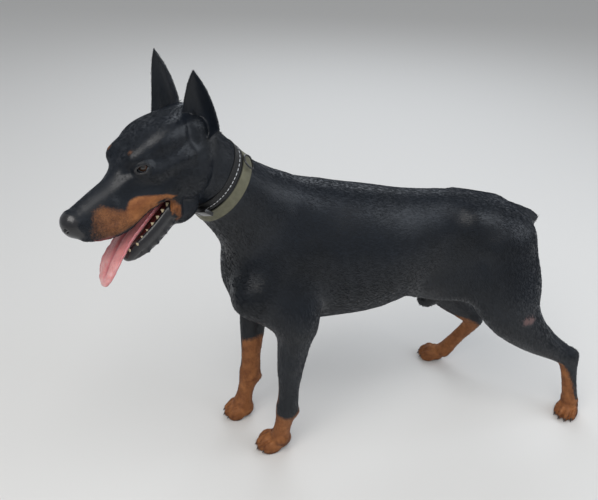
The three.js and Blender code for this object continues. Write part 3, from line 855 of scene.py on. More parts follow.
# Markings and lie of the coat, the same for the skin and its tufts.
def wobble(points, scale, seed=0.0):
    """A smooth pattern between -1 and 1 made of a few crossing waves."""
    p = points / scale
    a = np.sin(p[:, 0] * 1.7 + 1.3 * np.sin(p[:, 1] * 1.1 + seed) + seed)
    b = np.sin(p[:, 1] * 2.1 + 1.1 * np.sin(p[:, 2] * 1.6 + 2 * seed) + 1.7)
    c = np.sin(p[:, 2] * 1.9 + 1.2 * np.sin(p[:, 0] * 1.3 + 3 * seed) + 4.1)
    return (a + b + c) / 3


def spot(points, centre, radii):
    """How far places are from a centre, as shares of its radii."""
    return np.sqrt((((points - arr(centre)) / arr(radii)) ** 2).sum(1))


# The upper edge of the rust on the muzzle: places ahead and up in the head's frame.
MUZZLE_LINE = np.transpose([
    (96, -122), (108, -115), (122, -103), (146, -89), (165, -79), (180, -78),
    (194, -86), (204, -77), (222, -58), (240, -56), (256, -70), (266, -84),
])
# The edge of the upper lip, in the same way.
LIP_LINE = (126, 158, 175, 189, 205, 235, 266), (-118, -113, -118, -124, -125, -118, -101)
# Dark folds round the corner of the mouth: start, end, radius and strength.
LIP_FOLDS = [
    ((156, 40, -103), (128, 46, -112), 2.6, 0.6),
    ((128, 46, -112), (121, 46, -124), 2.6, 0.6),
    ((121, 46, -124), (123, 44, -156), 2.4, 0.7),
]


def face_tan(points, normals):
    """Rust on the muzzle, the cheeks, over the eyes and on the throat."""
    h = to_head(points)
    ax, ay, az = h[:, 0], np.abs(h[:, 1]), h[:, 2]
    folded = np.stack([ax, ay, az], 1)
    soft = (1 + 0.35 * wobble(points, 9)) * (1 + 1.8 * step_between(ax, 176, 206))
    muzzle = step_between(np.interp(ax, *MUZZLE_LINE) - az, -4 * soft, 5 * soft)
    muzzle *= step_between(ax, 94, 102) * (1 - step_between(ax, 262, 272))
    muzzle *= step_between(ay, 8, 17) * step_between(az, -190, -176)
    under = step_between(-(normals @ HEAD_TURN)[:, 2], 0.3, 0.62)
    lip = 1 - step_between(az - np.interp(ax, *LIP_LINE), 0, 4)
    muzzle *= 1 - 0.92 * np.maximum(under, lip)
    shade = 1 - 0.46 * step_between(ax, 172, 206) - 0.25 * step_between(ax, 226, 262)
    fold = ridge_height(folded, LIP_FOLDS)
    uneven = 0.12 * wobble(points, 7)
    cheek = 1 - step_between(spot(h, (117, 0, -140), (13, 90, 34)) + uneven, 0.6, 1.1)
    brow = 1 - step_between(spot(folded, (143, 33, -6), (13, 9, 8)), 0.6, 1.25)
    brow *= np.where(h[:, 1] > 0, 0.5, 0.85)
    throat = 1 - step_between(spot(h, (96, 0, -196), (66, 34, 26)), 0.6, 1.1)
    face = np.maximum.reduce([muzzle * shade - fold, cheek * 0.72 - fold, brow, throat * 0.35])
    return face * step_between(ax, 20, 40) * (ax < 300) * (ay < 75) * (az > -235)


def leg_tan(points, normals, side):
    """Rust on one side's chest, foreleg, hind leg and feet."""
    x, y, z = points.T
    chest = spot(points, (-104, side * 60, 404), (36, 26, 24))
    chest = 0.62 * (1 - step_between(chest, 0.5, 1.3))
    inner = step_between(-side * normals[:, 1], -0.25, 0.45)
    wave = 10 * wobble(points, 22, side)
    near_fore = (np.abs(x - WRIST[side][0]) < 90) & (y * side > 10) & (x < 160)
    top = 122 + wave + inner * (150 if side == L else 120)
    fore = (1 - step_between(z, top - 12, top + 16)) * near_fore
    hock_height = HOCK[side][2]
    near_hind = (y * side > 20) & (x > 330)
    facing = -normals[:, 0] - 0.45 * side * normals[:, 1] + wave / 90
    need = np.interp(z - (hock_height - 186), [60, 110, 190, 262], [-0.7, -0.35, 0.3, 1.15])
    hind = step_between(facing, need - 0.18, need + 0.2) * (z < hock_height + 90)
    foot = 1 - step_between(z, 44 + wave, 66 + wave)
    return np.maximum.reduce([chest, fore, np.maximum(hind, foot) * near_hind])


def tan_amount(points, normals):
    under_tail = 0.8 * (1 - step_between(spot(points, (572, 0, 520), (26, 34, 22)), 0.6, 1.1))
    legs = [leg_tan(points, normals, side) for side in (L, R)]
    return np.clip(np.maximum.reduce([face_tan(points, normals), *legs, under_tail]), 0, 1)


def bare_amount(points, normals):
    """Nose leather, lip edges, lid rims and pads."""
    h = to_head(points)
    ax, ay, az = h[:, 0], np.abs(h[:, 1]), h[:, 2]
    leather = step_between(ax - 0.34 * (az + 64), 263, 267) * step_between(az, -92, -84)
    result = leather * (ay < 22)
    for side in (L, R):
        g, across, up = eye_axes(side)
        d = h - eye_place(side)
        ring = np.sqrt((d @ across / 12.5) ** 2 + (d @ up / 7.4) ** 2)
        rim = (1 - step_between(ring, 1.05, 1.25)) * step_between(d @ g, 4, 8)
        result = np.maximum(result, rim)
    j = to_jaw(h)
    low = step_between(j[:, 2], -146, -136) * step_between(j[:, 0], 84, 100)
    low *= (j[:, 0] < 256) * (np.abs(j[:, 1]) < 52) * (az < -118) * (ax > 108)
    result = np.maximum(result, low * (JAW(points) < 3))
    pads = step_between(-normals[:, 2], 0.5, 0.9) * (points[:, 2] < 14)
    return np.clip(np.maximum(result, pads), 0, 1)


def mouth_amount(points, normals):
    """The lining of the mouth between the upper and lower lips."""
    h = to_head(points)
    n = normals @ HEAD_TURN
    j = to_jaw(h)
    roof = step_between(-n[:, 2], 0.2, 0.6) * (h[:, 2] > -116) * (np.abs(h[:, 1]) < 30)
    roof *= step_between(h[:, 0], 96, 108) * (h[:, 0] < 262) * (h[:, 2] < -88)
    inside = np.interp(j[:, 0], [84, 150, 196, 226], [30, 25, 17, 7])
    floor_part = step_between(n[:, 2], -0.1, 0.3) * (j[:, 2] > -122) * (np.abs(j[:, 1]) < inside)
    floor_part *= (j[:, 0] > 80) * (j[:, 0] < 226) * (JAW(points) < 3) * (h[:, 2] < -112)
    back = (spot(h, (110, 0, -122), (22, 30, 22)) < 1).astype(float)
    return np.clip(np.maximum.reduce([roof, floor_part, back]), 0, 1)


def on_ear(points, side):
    """How surely a place is on an ear's blade."""
    head = to_head(points)
    root, tip = arr(EARS[side]["root"]), arr(EARS[side]["tip"])
    line = tip - root
    t = np.clip((head - root) @ line / (line @ line), 0, 1.1)
    away = np.linalg.norm(head - root - t[:, None] * line, axis=1)
    return step_between(HEAD(points), 3, 9) * (away < 46) * (t > 0.14)


def coat_lie(points):
    """Which way the hair lies, as unit directions."""
    parts = [
        (TRUNK(points), arr((1, 0, -0.22))),
        (NECK(points) + 4, unit((0.5, 0.2, -0.75))),
        (HEAD(points) - 2, HEAD_TURN @ unit((-1, 0, -0.16))),
        (JAW(points), HEAD_TURN @ unit((-0.9, 0, 0.3))),
        (np.minimum(FORELEGS[0](points), FORELEGS[1](points)), arr((0.12, 0, -1))),
        (np.minimum(HIND_LEGS[0](points), HIND_LEGS[1](points)), arr((0.42, 0, -1))),
        (TAIL(points) - 4, unit((0.9, 0, -0.3))),
    ]
    total = np.zeros((len(points), 3))
    for distance, way in parts:
        total += np.exp(-np.clip(distance, -20, 60) / 9)[:, None] * unit(way)
    for side in (L, R):
        root, tip = arr(EARS[side]["root"]), arr(EARS[side]["tip"])
        total += 60 * on_ear(points, side)[:, None] * (HEAD_TURN @ unit(tip - root))
    foot = step_between(points[:, 2], 60, 20)
    for side in (L, R):
        for sole in (FORE_SOLE[side], HIND_SOLE[side]):
            heel, ahead, *_ = paw_frame(sole)
            near = (((points - heel - ahead * 40) ** 2).sum(1) < 90**2) * foot
            total += 30 * near[:, None] * (ahead + arr((0, 0, -0.4)))
    return total / np.maximum(np.linalg.norm(total, axis=1), 1e-6)[:, None]


def normals_of(mesh):
    return read(mesh.vertices, "normal", 3)


def write_mask(mesh, name, values):
    layer = mesh.attributes.get(name) or mesh.attributes.new(name, "FLOAT", "POINT")
    layer.data.foreach_set("value", np.ascontiguousarray(values, dtype=np.float32))


def smooth_faces(mesh):
    mesh.polygons.foreach_set("use_smooth", [True] * len(mesh.polygons))
    mesh.update()


def finish_piece(obj, slot_name, material, *nodes):
    """Gives a piece its material and smooth faces, hangs it under the root and hides the part's
    nodes that it stands for; slot_name is not used.
    """
    obj.data.materials.clear()
    obj.data.materials.append(material)
    smooth_faces(obj.data)
    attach(obj, "root")
    if nodes:
        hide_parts(*nodes)


# Materials
NUMBER, COLOUR = "NodeSocketFloat", "NodeSocketColor"
# Colours without a setting of their own.
# The last of these three colours is painted shade: darker red for the tongue's groove and edges.
DEEP_SHADE, SCUFFED, GROOVE_SHADE = (0.004, 0.004, 0.005), (0.16, 0.085, 0.08), (0.46, 0.10, 0.12)
# The first colour here is the white of the eye and also a painted bluish highlight on its lower
# part.
EYE_WHITE_AND_HIGHLIGHT, PUPIL, THREAD = (0.34, 0.40, 0.46), (0.002, 0.002, 0.002), (0.72, 0.74, 0.76)
HAIR_FINISH = {
    "Sheen Weight": 0.07,
    "Sheen Roughness": 0.35,
    "Sheen Tint": (0.62, 0.74, 1.0, 1),
    "Specular IOR Level": 0.36,
}


def new_material(name):
    material = bpy.data.materials.new(name)
    material.use_nodes = True
    return material, material.node_tree, material.node_tree.nodes["Principled BSDF"]


def wire(tree, source, target):
    tree.links.new(source, target)


def node(tree, kind, **settings):
    made = tree.nodes.new(kind)
    for key, value in settings.items():
        setattr(made, key, value)
    return made


def feed(tree, socket, value):
    """Gives a socket a link, a number or a colour."""
    if isinstance(value, bpy.types.NodeSocket):
        wire(tree, value, socket)
    elif isinstance(value, (int, float)):
        socket.default_value = value
    else:
        socket.default_value = (*value[:3], 1)


def finish(shader, values):
    for name, value in values.items():
        shader.inputs[name].default_value = value


def times(colour_value, factor):
    return [channel * factor for channel in colour_value[:3]]


def attribute(tree, name):
    return node(tree, "ShaderNodeAttribute", attribute_name=name).outputs["Fac"]


def mixed(tree, factor, a, b):
    """A mix of two colours or links, whose sockets on the mix node are the 7th and 8th."""
    made = node(tree, "ShaderNodeMix", data_type="RGBA")
    for index, value in ((0, factor), (6, a), (7, b)):
        feed(tree, made.inputs[index], value)
    return made.outputs[2]


def blended(tree, factor, a, b):
    """A mix of two numbers or links, whose sockets on the mix node are the 3rd and 4th."""
    made = node(tree, "ShaderNodeMix", data_type="FLOAT")
    for index, value in ((0, factor), (2, a), (3, b)):
        feed(tree, made.inputs[index], value)
    return made.outputs[0]


def maths(tree, operation, *values):
    made = node(tree, "ShaderNodeMath", operation=operation)
    for socket, value in zip(made.inputs, values):
        feed(tree, socket, value)
    return made.outputs[0]


def noise(tree, scale, detail=3.0, stretch=None):
    coords = node(tree, "ShaderNodeTexCoord").outputs["Object"]
    if stretch:
        mapping = node(tree, "ShaderNodeMapping")
        mapping.inputs["Scale"].default_value = stretch
        wire(tree, coords, mapping.inputs["Vector"])
        coords = mapping.outputs["Vector"]
    made = node(tree, "ShaderNodeTexNoise")
    wire(tree, coords, made.inputs["Vector"])
    for name, value in (("Scale", scale), ("Detail", detail), ("Roughness", 0.55)):
        feed(tree, made.inputs[name], value)
    return made.outputs["Fac"]


def pebbles(tree, scale):
    made = node(tree, "ShaderNodeTexVoronoi")
    made.inputs["Scale"].default_value = scale
    wire(tree, node(tree, "ShaderNodeTexCoord").outputs["Object"], made.inputs["Vector"])
    return made.outputs["Distance"]


def ramp(tree, source, low, high, out_low=0.0, out_high=1.0):
    made = node(tree, "ShaderNodeMapRange")
    names = ("Value", "From Min", "From Max", "To Min", "To Max")
    for name, value in zip(names, (source, low, high, out_low, out_high)):
        feed(tree, made.inputs[name], value)
    return made.outputs["Result"]


def bumped(tree, shader, height, strength, distance):
    bump = node(tree, "ShaderNodeBump")
    for name, value in (("Strength", strength), ("Distance", distance), ("Height", height)):
        feed(tree, bump.inputs[name], value)
    wire(tree, bump.outputs["Normal"], shader.inputs["Normal"])


# Node groups
def new_group(name, inputs, outputs):
    """A node group with these sockets, and the sockets on its own inside."""
    group = bpy.data.node_groups.new(name, "ShaderNodeTree")
    for way, sockets in (("INPUT", inputs), ("OUTPUT", outputs)):
        for label, kind in sockets.items():
            group.interface.new_socket(label, in_out=way, socket_type=kind)
    inlet, outlet = node(group, "NodeGroupInput"), node(group, "NodeGroupOutput")
    return group, inlet.outputs, outlet.inputs


def use_group(tree, name, build, values):
    """Places a group, which is built the first time, with a material's own values."""
    made = node(tree, "ShaderNodeGroup")
    made.node_tree = bpy.data.node_groups.get(name) or build(name)
    for label, value in values.items():
        feed(tree, made.inputs[label], value)
    return made.outputs


def fur_group(name):
    """The coat's colour and roughness, shared by the skin and its tufts."""
    colours = bpy.context.scene.dog_colours
    group, inlet, outlet = new_group(
        name, {"Tan": NUMBER, "Shade": NUMBER}, {"Color": COLOUR, "Roughness": NUMBER}
    )
    patch = ramp(group, noise(group, 9), 0.35, 0.7)
    black = mixed(group, patch, colours.black, times(colours.black, 1.7))
    rust = mixed(group, ramp(group, noise(group, 55), 0.3, 0.7), colours.rust_dark, colours.rust)
    grain = maths(group, "MULTIPLY_ADD", noise(group, 420, 2), 0.5, -0.25)
    edge = ramp(group, maths(group, "ADD", grain, inlet["Tan"]), 0.2, 0.75)
    coat = mixed(group, edge, black, rust)
    dark = mixed(group, 0.45, coat, DEEP_SHADE)
    wire(group, mixed(group, inlet["Shade"], coat, dark), outlet["Color"])
    wire(group, blended(group, inlet["Tan"], 0.36, 0.62), outlet["Roughness"])
    return group


def fur(tree, shade):
    return use_group(tree, "Fur colour", fur_group, {"Tan": attribute(tree, "tan"), "Shade": shade})


def mottle_group(name):
    """Two colours in soft patches, an uneven roughness and a fine relief."""
    numbers = ("Scale", "Detail", "Low", "Rough scale", "Smoothest", "Roughest", "Relief scale")
    group, inlet, outlet = new_group(
        name,
        {"Light": COLOUR, "Dark": COLOUR, **dict.fromkeys(numbers, NUMBER)},
        {"Color": COLOUR, "Mask": NUMBER, "Roughness": NUMBER, "Height": NUMBER},
    )
    mask = ramp(group, noise(group, inlet["Scale"], inlet["Detail"]), inlet["Low"], 0.7)
    wire(group, mask, outlet["Mask"])
    wire(group, mixed(group, mask, inlet["Light"], inlet["Dark"]), outlet["Color"])
    uneven = noise(group, inlet["Rough scale"])
    rough = ramp(group, uneven, 0.3, 0.7, inlet["Smoothest"], inlet["Roughest"])
    wire(group, rough, outlet["Roughness"])
    wire(group, noise(group, inlet["Relief scale"], 4), outlet["Height"])
    return group


def mottle(tree, light, dark, scale, detail=3, low=0.3, uneven=(0, 0, 0), relief=0):
    """Places the mottle; uneven is the roughness's scale, least and most."""
    return use_group(tree, "Mottle", mottle_group, {
        "Light": light, "Dark": dark, "Scale": scale, "Detail": detail, "Low": low,
        "Rough scale": uneven[0], "Smoothest": uneven[1], "Roughest": uneven[2],
        "Relief scale": relief,
    })


def weave_group(name):
    """Crossed threads and painted shade along a strap's edges, from places along and across it."""
    group, inlet, outlet = new_group(
        name,
        {"Along": NUMBER, "Across": NUMBER, "Threads": NUMBER},
        {"Height": NUMBER, "Edge": NUMBER},
    )
    thread = maths(group, "SINE", maths(group, "MULTIPLY", inlet["Along"], inlet["Threads"]))
    crossing = maths(group, "SINE", maths(group, "MULTIPLY", inlet["Across"], 34))
    wire(group, maths(group, "MULTIPLY", thread, crossing), outlet["Height"])
    # Painted shade on the outer parts of both edges.
    edge = ramp(group, maths(group, "ABSOLUTE", inlet["Across"]), 0.88, 0.95)
    wire(group, edge, outlet["Edge"])
    return group


def skin_material(colours):
    material, tree, shader = new_material("Short black and rust coat")
    hair = fur(tree, 0)
    bare, mouth = attribute(tree, "bare"), attribute(tree, "mouth")
    leather = mottle(tree, colours.leather, times(colours.leather, 1.8), 160)
    lining = mixed(tree, leather["Mask"], colours.lining, times(colours.lining, 0.4))
    coloured = mixed(tree, bare, hair["Color"], leather["Color"])
    coloured = mixed(tree, attribute(tree, "scuff"), coloured, SCUFFED)
    wire(tree, mixed(tree, mouth, coloured, lining), shader.inputs["Base Color"])
    rough = blended(tree, bare, hair["Roughness"], 0.34)
    wire(tree, blended(tree, mouth, rough, 0.2), shader.inputs["Roughness"])
    wire(tree, ramp(tree, bare, 0.3, 1.0, 0.0, 0.55), shader.inputs["Coat Weight"])
    streak_body = noise(tree, 90, 4, (1, 6, 6))
    streak_leg = noise(tree, 90, 4, (6, 6, 1))
    streak = blended(tree, attribute(tree, "down"), streak_body, streak_leg)
    bumped(tree, shader, blended(tree, bare, streak, pebbles(tree, 420)), 0.35, 0.0007)
    finish(shader, {**HAIR_FINISH, "Coat Roughness": 0.18})
    return material


def tuft_material():
    material, tree, shader = new_material("Hair tufts")
    hair = fur(tree, attribute(tree, "shade"))
    wire(tree, hair["Color"], shader.inputs["Base Color"])
    wire(tree, hair["Roughness"], shader.inputs["Roughness"])
    bumped(tree, shader, noise(tree, 900, 2), 0.2, 0.0006)
    finish(shader, HAIR_FINISH)
    return material


def plain_material(name, base, rough, scale, depth, coat, vary):
    """A mottled, finely bumped finish in one colour family."""
    material, tree, shader = new_material(name)
    uneven = (scale * 0.6, rough * 0.8, min(1, rough * 1.2))
    pattern = mottle(tree, base, times(base, vary), scale, 4, 0.3, uneven, scale * 3)
    wire(tree, pattern["Color"], shader.inputs["Base Color"])
    wire(tree, pattern["Roughness"], shader.inputs["Roughness"])
    bumped(tree, shader, pattern["Height"], 0.4, depth)
    finish(shader, {"Coat Weight": coat, "Coat Roughness": 0.1})
    return material


def tongue_material(colours):
    material, tree, shader = new_material("Wet tongue")
    # Paler pink on the top of the tip is a painted highlight.
    pale = mixed(tree, attribute(tree, "tip"), colours.tongue, colours.tongue_tip_highlight)
    wet = mottle(tree, pale, times(colours.tongue, 0.85), 60, 3, 0.35, (90, 0.22, 0.42))
    # Painted shade: darker red in the groove and along the edges.
    groove = mixed(tree, attribute(tree, "groove"), wet["Color"], GROOVE_SHADE)
    wire(tree, groove, shader.inputs["Base Color"])
    wire(tree, wet["Roughness"], shader.inputs["Roughness"])
    bumped(tree, shader, pebbles(tree, 650), 0.5, 0.0006)
    finish(shader, {
        "Subsurface Weight": 0.25,
        "Subsurface Radius": (0.01, 0.003, 0.002),
        "Coat Weight": 0.5,
        "Coat Roughness": 0.15,
    })
    return material


PUPIL_EDGE, IRIS_EDGE = (17, 19), (38, 42)  # degrees from the middle of the gaze


def eye_material(colours):
    material, tree, shader = new_material("Dark brown eye")
    angle = attribute(tree, "angle")
    iris = mottle(tree, colours.iris, times(colours.iris, 2.4), 700)["Color"]
    # White of the eye, which the lower part reaches sooner as a painted bluish highlight of the wet
    # lower rim.
    white_and_highlight = mixed(tree, ramp(tree, angle, *IRIS_EDGE), iris, EYE_WHITE_AND_HIGHLIGHT)
    pupil = ramp(tree, angle, *PUPIL_EDGE, 1, 0)
    wire(tree, mixed(tree, pupil, white_and_highlight, PUPIL), shader.inputs["Base Color"])
    finish(shader, {"Roughness": 0.04, "Coat Weight": 1.0, "Coat Roughness": 0.02})
    return material


def stitches(tree, along, across):
    """A mask of one row of pale dashes."""
    row = maths(tree, "COMPARE", across, -0.3, 0.07)
    dash = maths(tree, "FRACT", maths(tree, "MULTIPLY", along, 105))
    return maths(tree, "MULTIPLY", row, maths(tree, "LESS_THAN", dash, 0.62))


def strap_material(name, base, threads, relief, stitched):
    """Flat strap or webbing, with its own weave across and along."""
    material, tree, shader = new_material(name)
    along, across = attribute(tree, "along"), attribute(tree, "across")
    weave = use_group(
        tree, "Weave", weave_group, {"Along": along, "Across": across, "Threads": threads}
    )
    grime = mottle(tree, base, times(base, 0.72), 70, 4, 0.3, (120, 0.5, 0.75))
    # The edges darkened to 0.3 of the base colour: painted shade.
    cloth = mixed(tree, weave["Edge"], grime["Color"], times(base, 0.3))
    if stitched:
        cloth = mixed(tree, stitches(tree, along, across), cloth, THREAD)
    wire(tree, cloth, shader.inputs["Base Color"])
    wire(tree, grime["Roughness"], shader.inputs["Roughness"])
    bumped(tree, shader, weave["Height"], relief, 0.0005)
    return material


# Skin
SKIN_FLOOR = 0.0004  # metres, lowest place of the soles
FLESH = [
    "torso", "neck", "head", "jaw", "ear_left", "ear_right", "tail",
    "foreleg_left", "foreleg_right", "hindleg_left", "hindleg_right",
]


def raise_ridges(mesh, rows, inward=None, zone=None, extra=None):
    """Moves the skin along its normals by the rows' heights."""
    co = to_withers(coordinates(mesh))
    local = co if inward is None else inward(co)
    height = ridge_height(local, rows)
    if extra is not None:
        height += extra(local)
    if zone is not None:
        height *= zone(co)
    co += normals_of(mesh) * height[:, None]
    set_coordinates(mesh, to_row(co))


def relax(mesh, rounds, factor, mask):
    co = to_withers(coordinates(mesh))
    set_coordinates(mesh, to_row(smooth_points(mesh, co, rounds, factor, mask(co))))


def as_share(wanted):
    """A zone as 0 and 1 for each place."""
    return lambda points: wanted(points).astype(float)


def detail_zone(points):
    return head_zone(points) | paw_zone(points)


def away_from(zone):
    return lambda points: 1 - as_share(zone)(points)


def face_or_paws(points):
    return face_zone(points) | paw_zone(points)


def on_jaw(points):
    return (JAW(points) < HEAD(points) + 1).astype(float)


def on_skull(points):
    near = step_between(HEAD(points), 14, 2)
    return (to_head(points)[:, 0] > -10) * near * (1 - on_jaw(points))


def shape_skin(obj):
    """Settles the grid on the forms, makes it finer where needed and lays the folds on it."""
    mesh = obj.data
    co = settle(DOG, to_withers(coordinates(mesh)), 2, 8)
    co = smooth_points(mesh, co, 2, 0.5)
    set_coordinates(mesh, to_row(settle(DOG, co, 1, 4)))
    for wanted in (detail_zone, face_zone):
        finer(obj, wanted)
        mesh = obj.data
        co = to_withers(coordinates(mesh))
        mask = as_share(wanted)(co)
        co = smooth_points(mesh, co, 2, 0.5, mask)
        co = np.where(mask[:, None] > 0, settle(DOG, co, 1, 3), co)
        set_coordinates(mesh, to_row(co))
    relax(mesh, 9, 0.5, away_from(detail_zone))
    raise_ridges(mesh, body_ridges())
    relax(mesh, 4, 0.5, away_from(face_or_paws))
    relax(mesh, 26, 0.5, chest_mask)
    raise_ridges(mesh, head_ridges(), to_head, on_skull, lid_height)
    raise_ridges(mesh, jaw_ridges(), lambda points: to_jaw(to_head(points)), on_jaw)


def add_ears(obj):
    for side in (L, R):
        cut(obj, linked("ear", ear_shape(side)), "UNION")


def chest_mask(points):
    return 1 - step_between(spot(points, (-112, 0, 478), (90, 130, 130)), 0.6, 1.1)


def near_ear_roots(points):
    h = to_head(points)
    near = np.zeros(len(points))
    for side in (L, R):
        away = spot(h, arr(EARS[side]["root"]) + arr((0, 0, 12)), (46, 34, 26))
        near = np.maximum(near, 1 - step_between(away, 0.75, 1.1))
    return near


def open_eyes_and_nose(obj, settings):
    lid = (settings.lid_width * MM, settings.lid_height * MM, 13)
    for side in (L, R):
        g, across, up = eye_axes(side)
        opening = egg(eye_place(side) + g * 12, lid, np.stack([across, up, g]), 32)
        cut(obj, linked("lid opening", opening), "DIFFERENCE")
    for y in (1, -1):
        round_hole = egg((286, y * 8, -66), (12, 4.2, 4.6), turn_z(-y * 24).T)
        cut(obj, linked("nostril", round_hole), "DIFFERENCE")
        slit = egg((276, y * 15.5, -70), (9, 3.4, 2.2), turn_z(-y * 50).T)
        cut(obj, linked("nostril slit", slit), "DIFFERENCE")


def mark_skin(mesh):
    """Writes the markings, bare parts and the lie of the coat as attributes."""
    co = to_withers(coordinates(mesh))
    normals = normals_of(mesh)
    write_mask(mesh, "tan", tan_amount(co, normals))
    write_mask(mesh, "bare", bare_amount(co, normals))
    write_mask(mesh, "mouth", mouth_amount(co, normals))
    write_mask(mesh, "scuff", scuff_amount(co, normals))
    write_mask(mesh, "down", step_between(-coat_lie(co)[:, 2], 0.5, 0.8))


def scuff_amount(points, normals):
    """A worn bare patch on the outside of the left thigh."""
    at = arr((540, -148, 348))
    worn = 1 - step_between(spot(points, at, (22, 40, 15)) + 0.35 * wobble(points, 5), 0.4, 1.1)
    return 0.75 * worn * (normals[:, 1] < 0.1)


# Eyes, teeth, tongue and claws.
def joined(name, bm):
    bmesh.ops.recalc_face_normals(bm, faces=bm.faces)
    return linked(name, bm)


def basis(x, y, z, origin):
    """A matrix in metres of the row frame from axes and a place in the withers frame."""
    turn = Matrix((x, y, z)).transposed().to_4x4()
    return Matrix.Translation(Vector(to_row(origin))) @ turn


def make_eye(side, material):
    g, across, up = (HEAD_TURN @ axis for axis in eye_axes(side))
    radius = (EYE_RADIUS - 0.1) / MM
    bm = bmesh.new()
    bmesh.ops.create_uvsphere(bm, u_segments=48, v_segments=32, radius=radius)
    angle_layer = bm.verts.layers.float.new("angle")
    for vert in bm.verts:
        angle = math.degrees(vert.co.angle((0, 0, 1), 0))
        # The lower part turns white sooner: a painted bluish highlight along the wet lower rim.
        vert[angle_layer] = angle + 20 * max(0, -vert.co.y / EYE_RADIUS * MM)
        vert.co *= 1 + 0.035 * max(0, math.cos(math.radians(min(90, angle * 2.3))))
    centre = from_head(eye_place(side))
    bmesh.ops.transform(bm, matrix=basis(across, up, g, centre), verts=bm.verts)
    obj = joined("eye_ball_left" if side == L else "eye_ball_right", bm)
    finish_piece(obj, "eye", material, "eye_left" if side == L else "eye_right")


# Rows of teeth in the head's or the lower jaw's frame: the first and the last place on the
# left, how many on each side, the width and length of a tooth, and whether in the lower jaw.
TOOTH_ROWS = [
    ((222, 13, -95), (222, 13, -95), 1, 3.2, 17, True),
    ((206, 21, -96), (120, 31, -101), 7, 3.0, 10, True),
    ((230, 2.4, -95), (227, 8.6, -95), 3, 2.1, 7, True),
    ((240, 15, -104), (240, 15, -104), 1, 3.8, 17, False),
    ((222, 17, -108), (150, 25, -111), 5, 3.6, 9, False),
    ((258, 2.4, -101), (255, 9.6, -101), 3, 2.2, 6.5, False),
]


def new_cone(bm, segments, root_radius, tip_radius):
    """A cone from z -1 to 1, whose new vertices are not tagged."""
    return bmesh.ops.create_cone(
        bm, cap_ends=True, segments=segments, radius1=root_radius, radius2=tip_radius, depth=2.0
    )["verts"]


def newly_made(bm):
    """The vertices that have no tag yet, which they now get."""
    fresh = [vert for vert in bm.verts if not vert.tag]
    for vert in fresh:
        vert.tag = True
    return fresh


def add_tooth(bm, place, width, length, canine, lower):
    cone = new_cone(bm, 12, 1.0, 0.12)
    edges = list({edge for vert in cone for edge in vert.link_edges})
    bmesh.ops.subdivide_edges(bm, edges=edges, cuts=1, smooth=0.3)
    up = 1 if lower else -1
    for vert in newly_made(bm):
        x, y, z = vert.co
        lean = ((z + 1) / 2) ** 2 * canine
        head_spot = place + arr((x * width[0] - lean, y * width[1], up * z * length * 0.5))
        vert.co = to_row(from_head(from_jaw(head_spot) if lower else head_spot))


def make_teeth(material):
    for lower in (True, False):
        bm = bmesh.new()
        for first, last, count, width, length, in_jaw in TOOTH_ROWS:
            if in_jaw != lower:
                continue
            canine = width * 0.7 * (count == 1)
            for i in range(count):
                bulk = 1 + (0.75 * (i / count) + 0.2 * math.sin(2.3 * i)) * (count > 3)
                for y in (1, -1):
                    place = mix(first, last, i / max(count - 1, 1)) * arr((1, y, 1))
                    add_tooth(bm, place, (width * bulk, width * 0.62), length, canine, lower)
        obj = joined("teeth_lower" if lower else "teeth_upper", bm)
        finish_piece(obj, "coat", material)


TONGUE = placed(
    run([
        [(80, 0, -124), (14, 8)],
        [(130, 0, -134), (17, 8)],
        [(171, 0, -142), (20, 7.5)],
        [(205, 1, -149), (23, 7)],
        [(228, 3, -157), (26, 6)],
        [(252, 4, -168), (27, 5)],
        [(272, 6, -182), (20, 4.5)],
        [(281, 7, -190), (10, 4)],
    ]),
    HEAD_TURN, from_head, to_head,
)


def make_tongue(material):
    obj = remeshed("tongue_skin", TONGUE, 0.0018)
    mesh = obj.data
    co = settle(TONGUE, to_withers(coordinates(mesh)), 2, 3)
    co = smooth_points(mesh, co, 3, 0.5)
    h = to_head(co)
    line = np.interp(h[:, 0], (80, 200, 280), (0, 1, 7))
    across = h[:, 1] - line
    upper = normals_of(mesh) @ HEAD_TURN[:, 2] > 0
    half = np.interp(h[:, 0], (80, 171, 228, 252, 272, 285), (14, 20, 26, 27, 20, 8))
    groove = np.exp(-((across / 3.4) ** 2)) * upper * step_between(h[:, 0], 286, 262)
    edge = step_between(np.abs(across) / half, 0.72, 1.0)
    h[:, 2] += edge * 3.2 * step_between(h[:, 0], 282, 240) - groove * 2.6
    h[:, 2] += 0.7 * np.sin(h[:, 0] * 0.42 + across * 0.09) * edge
    set_coordinates(mesh, to_row(from_head(h)))
    # Painted shade mask for the groove and the edges, made darker red in the material.
    write_mask(mesh, "groove", np.clip(groove * 0.8 + edge * 0.55, 0, 1))
    # The tip mask holds only the upward side of the tip: a painted highlight.
    write_mask(mesh, "tip", step_between(h[:, 0], 232, 268) * upper)
    finish_piece(obj, "tongue", material, "tongue")


CLAW_LENGTH, CLAW_DROP = 13, 12
CLAW_BEND = (12, 74)  # degrees at the root and at the tip


def add_claw(bm, start, out):
    """A curved cone that starts in a toe, in the withers frame."""
    cone = new_cone(bm, 14, 3.9, 0.9)
    edges = {edge for vert in cone for edge in vert.link_edges}
    sides = [edge for edge in edges if abs(edge.verts[0].co.z - edge.verts[1].co.z) > 1]
    bmesh.ops.subdivide_edges(bm, edges=sides, cuts=6)
    across = np.cross((0, 0, 1), out)
    for vert in newly_made(bm):
        x, y, z = vert.co
        root_bend, tip_bend = CLAW_BEND
        bend = math.radians(root_bend + (tip_bend - root_bend) * (z + 1) / 2)
        along = CLAW_LENGTH * math.sin(bend) / math.sin(math.radians(tip_bend)) - 3
        height = x * 0.95 - CLAW_DROP * (1 - math.cos(bend))
        place = start + out * along + across * y * 0.8 + arr((0, 0, height))
        place[2] = max(place[2], 0.6)
        vert.co = to_row(place)


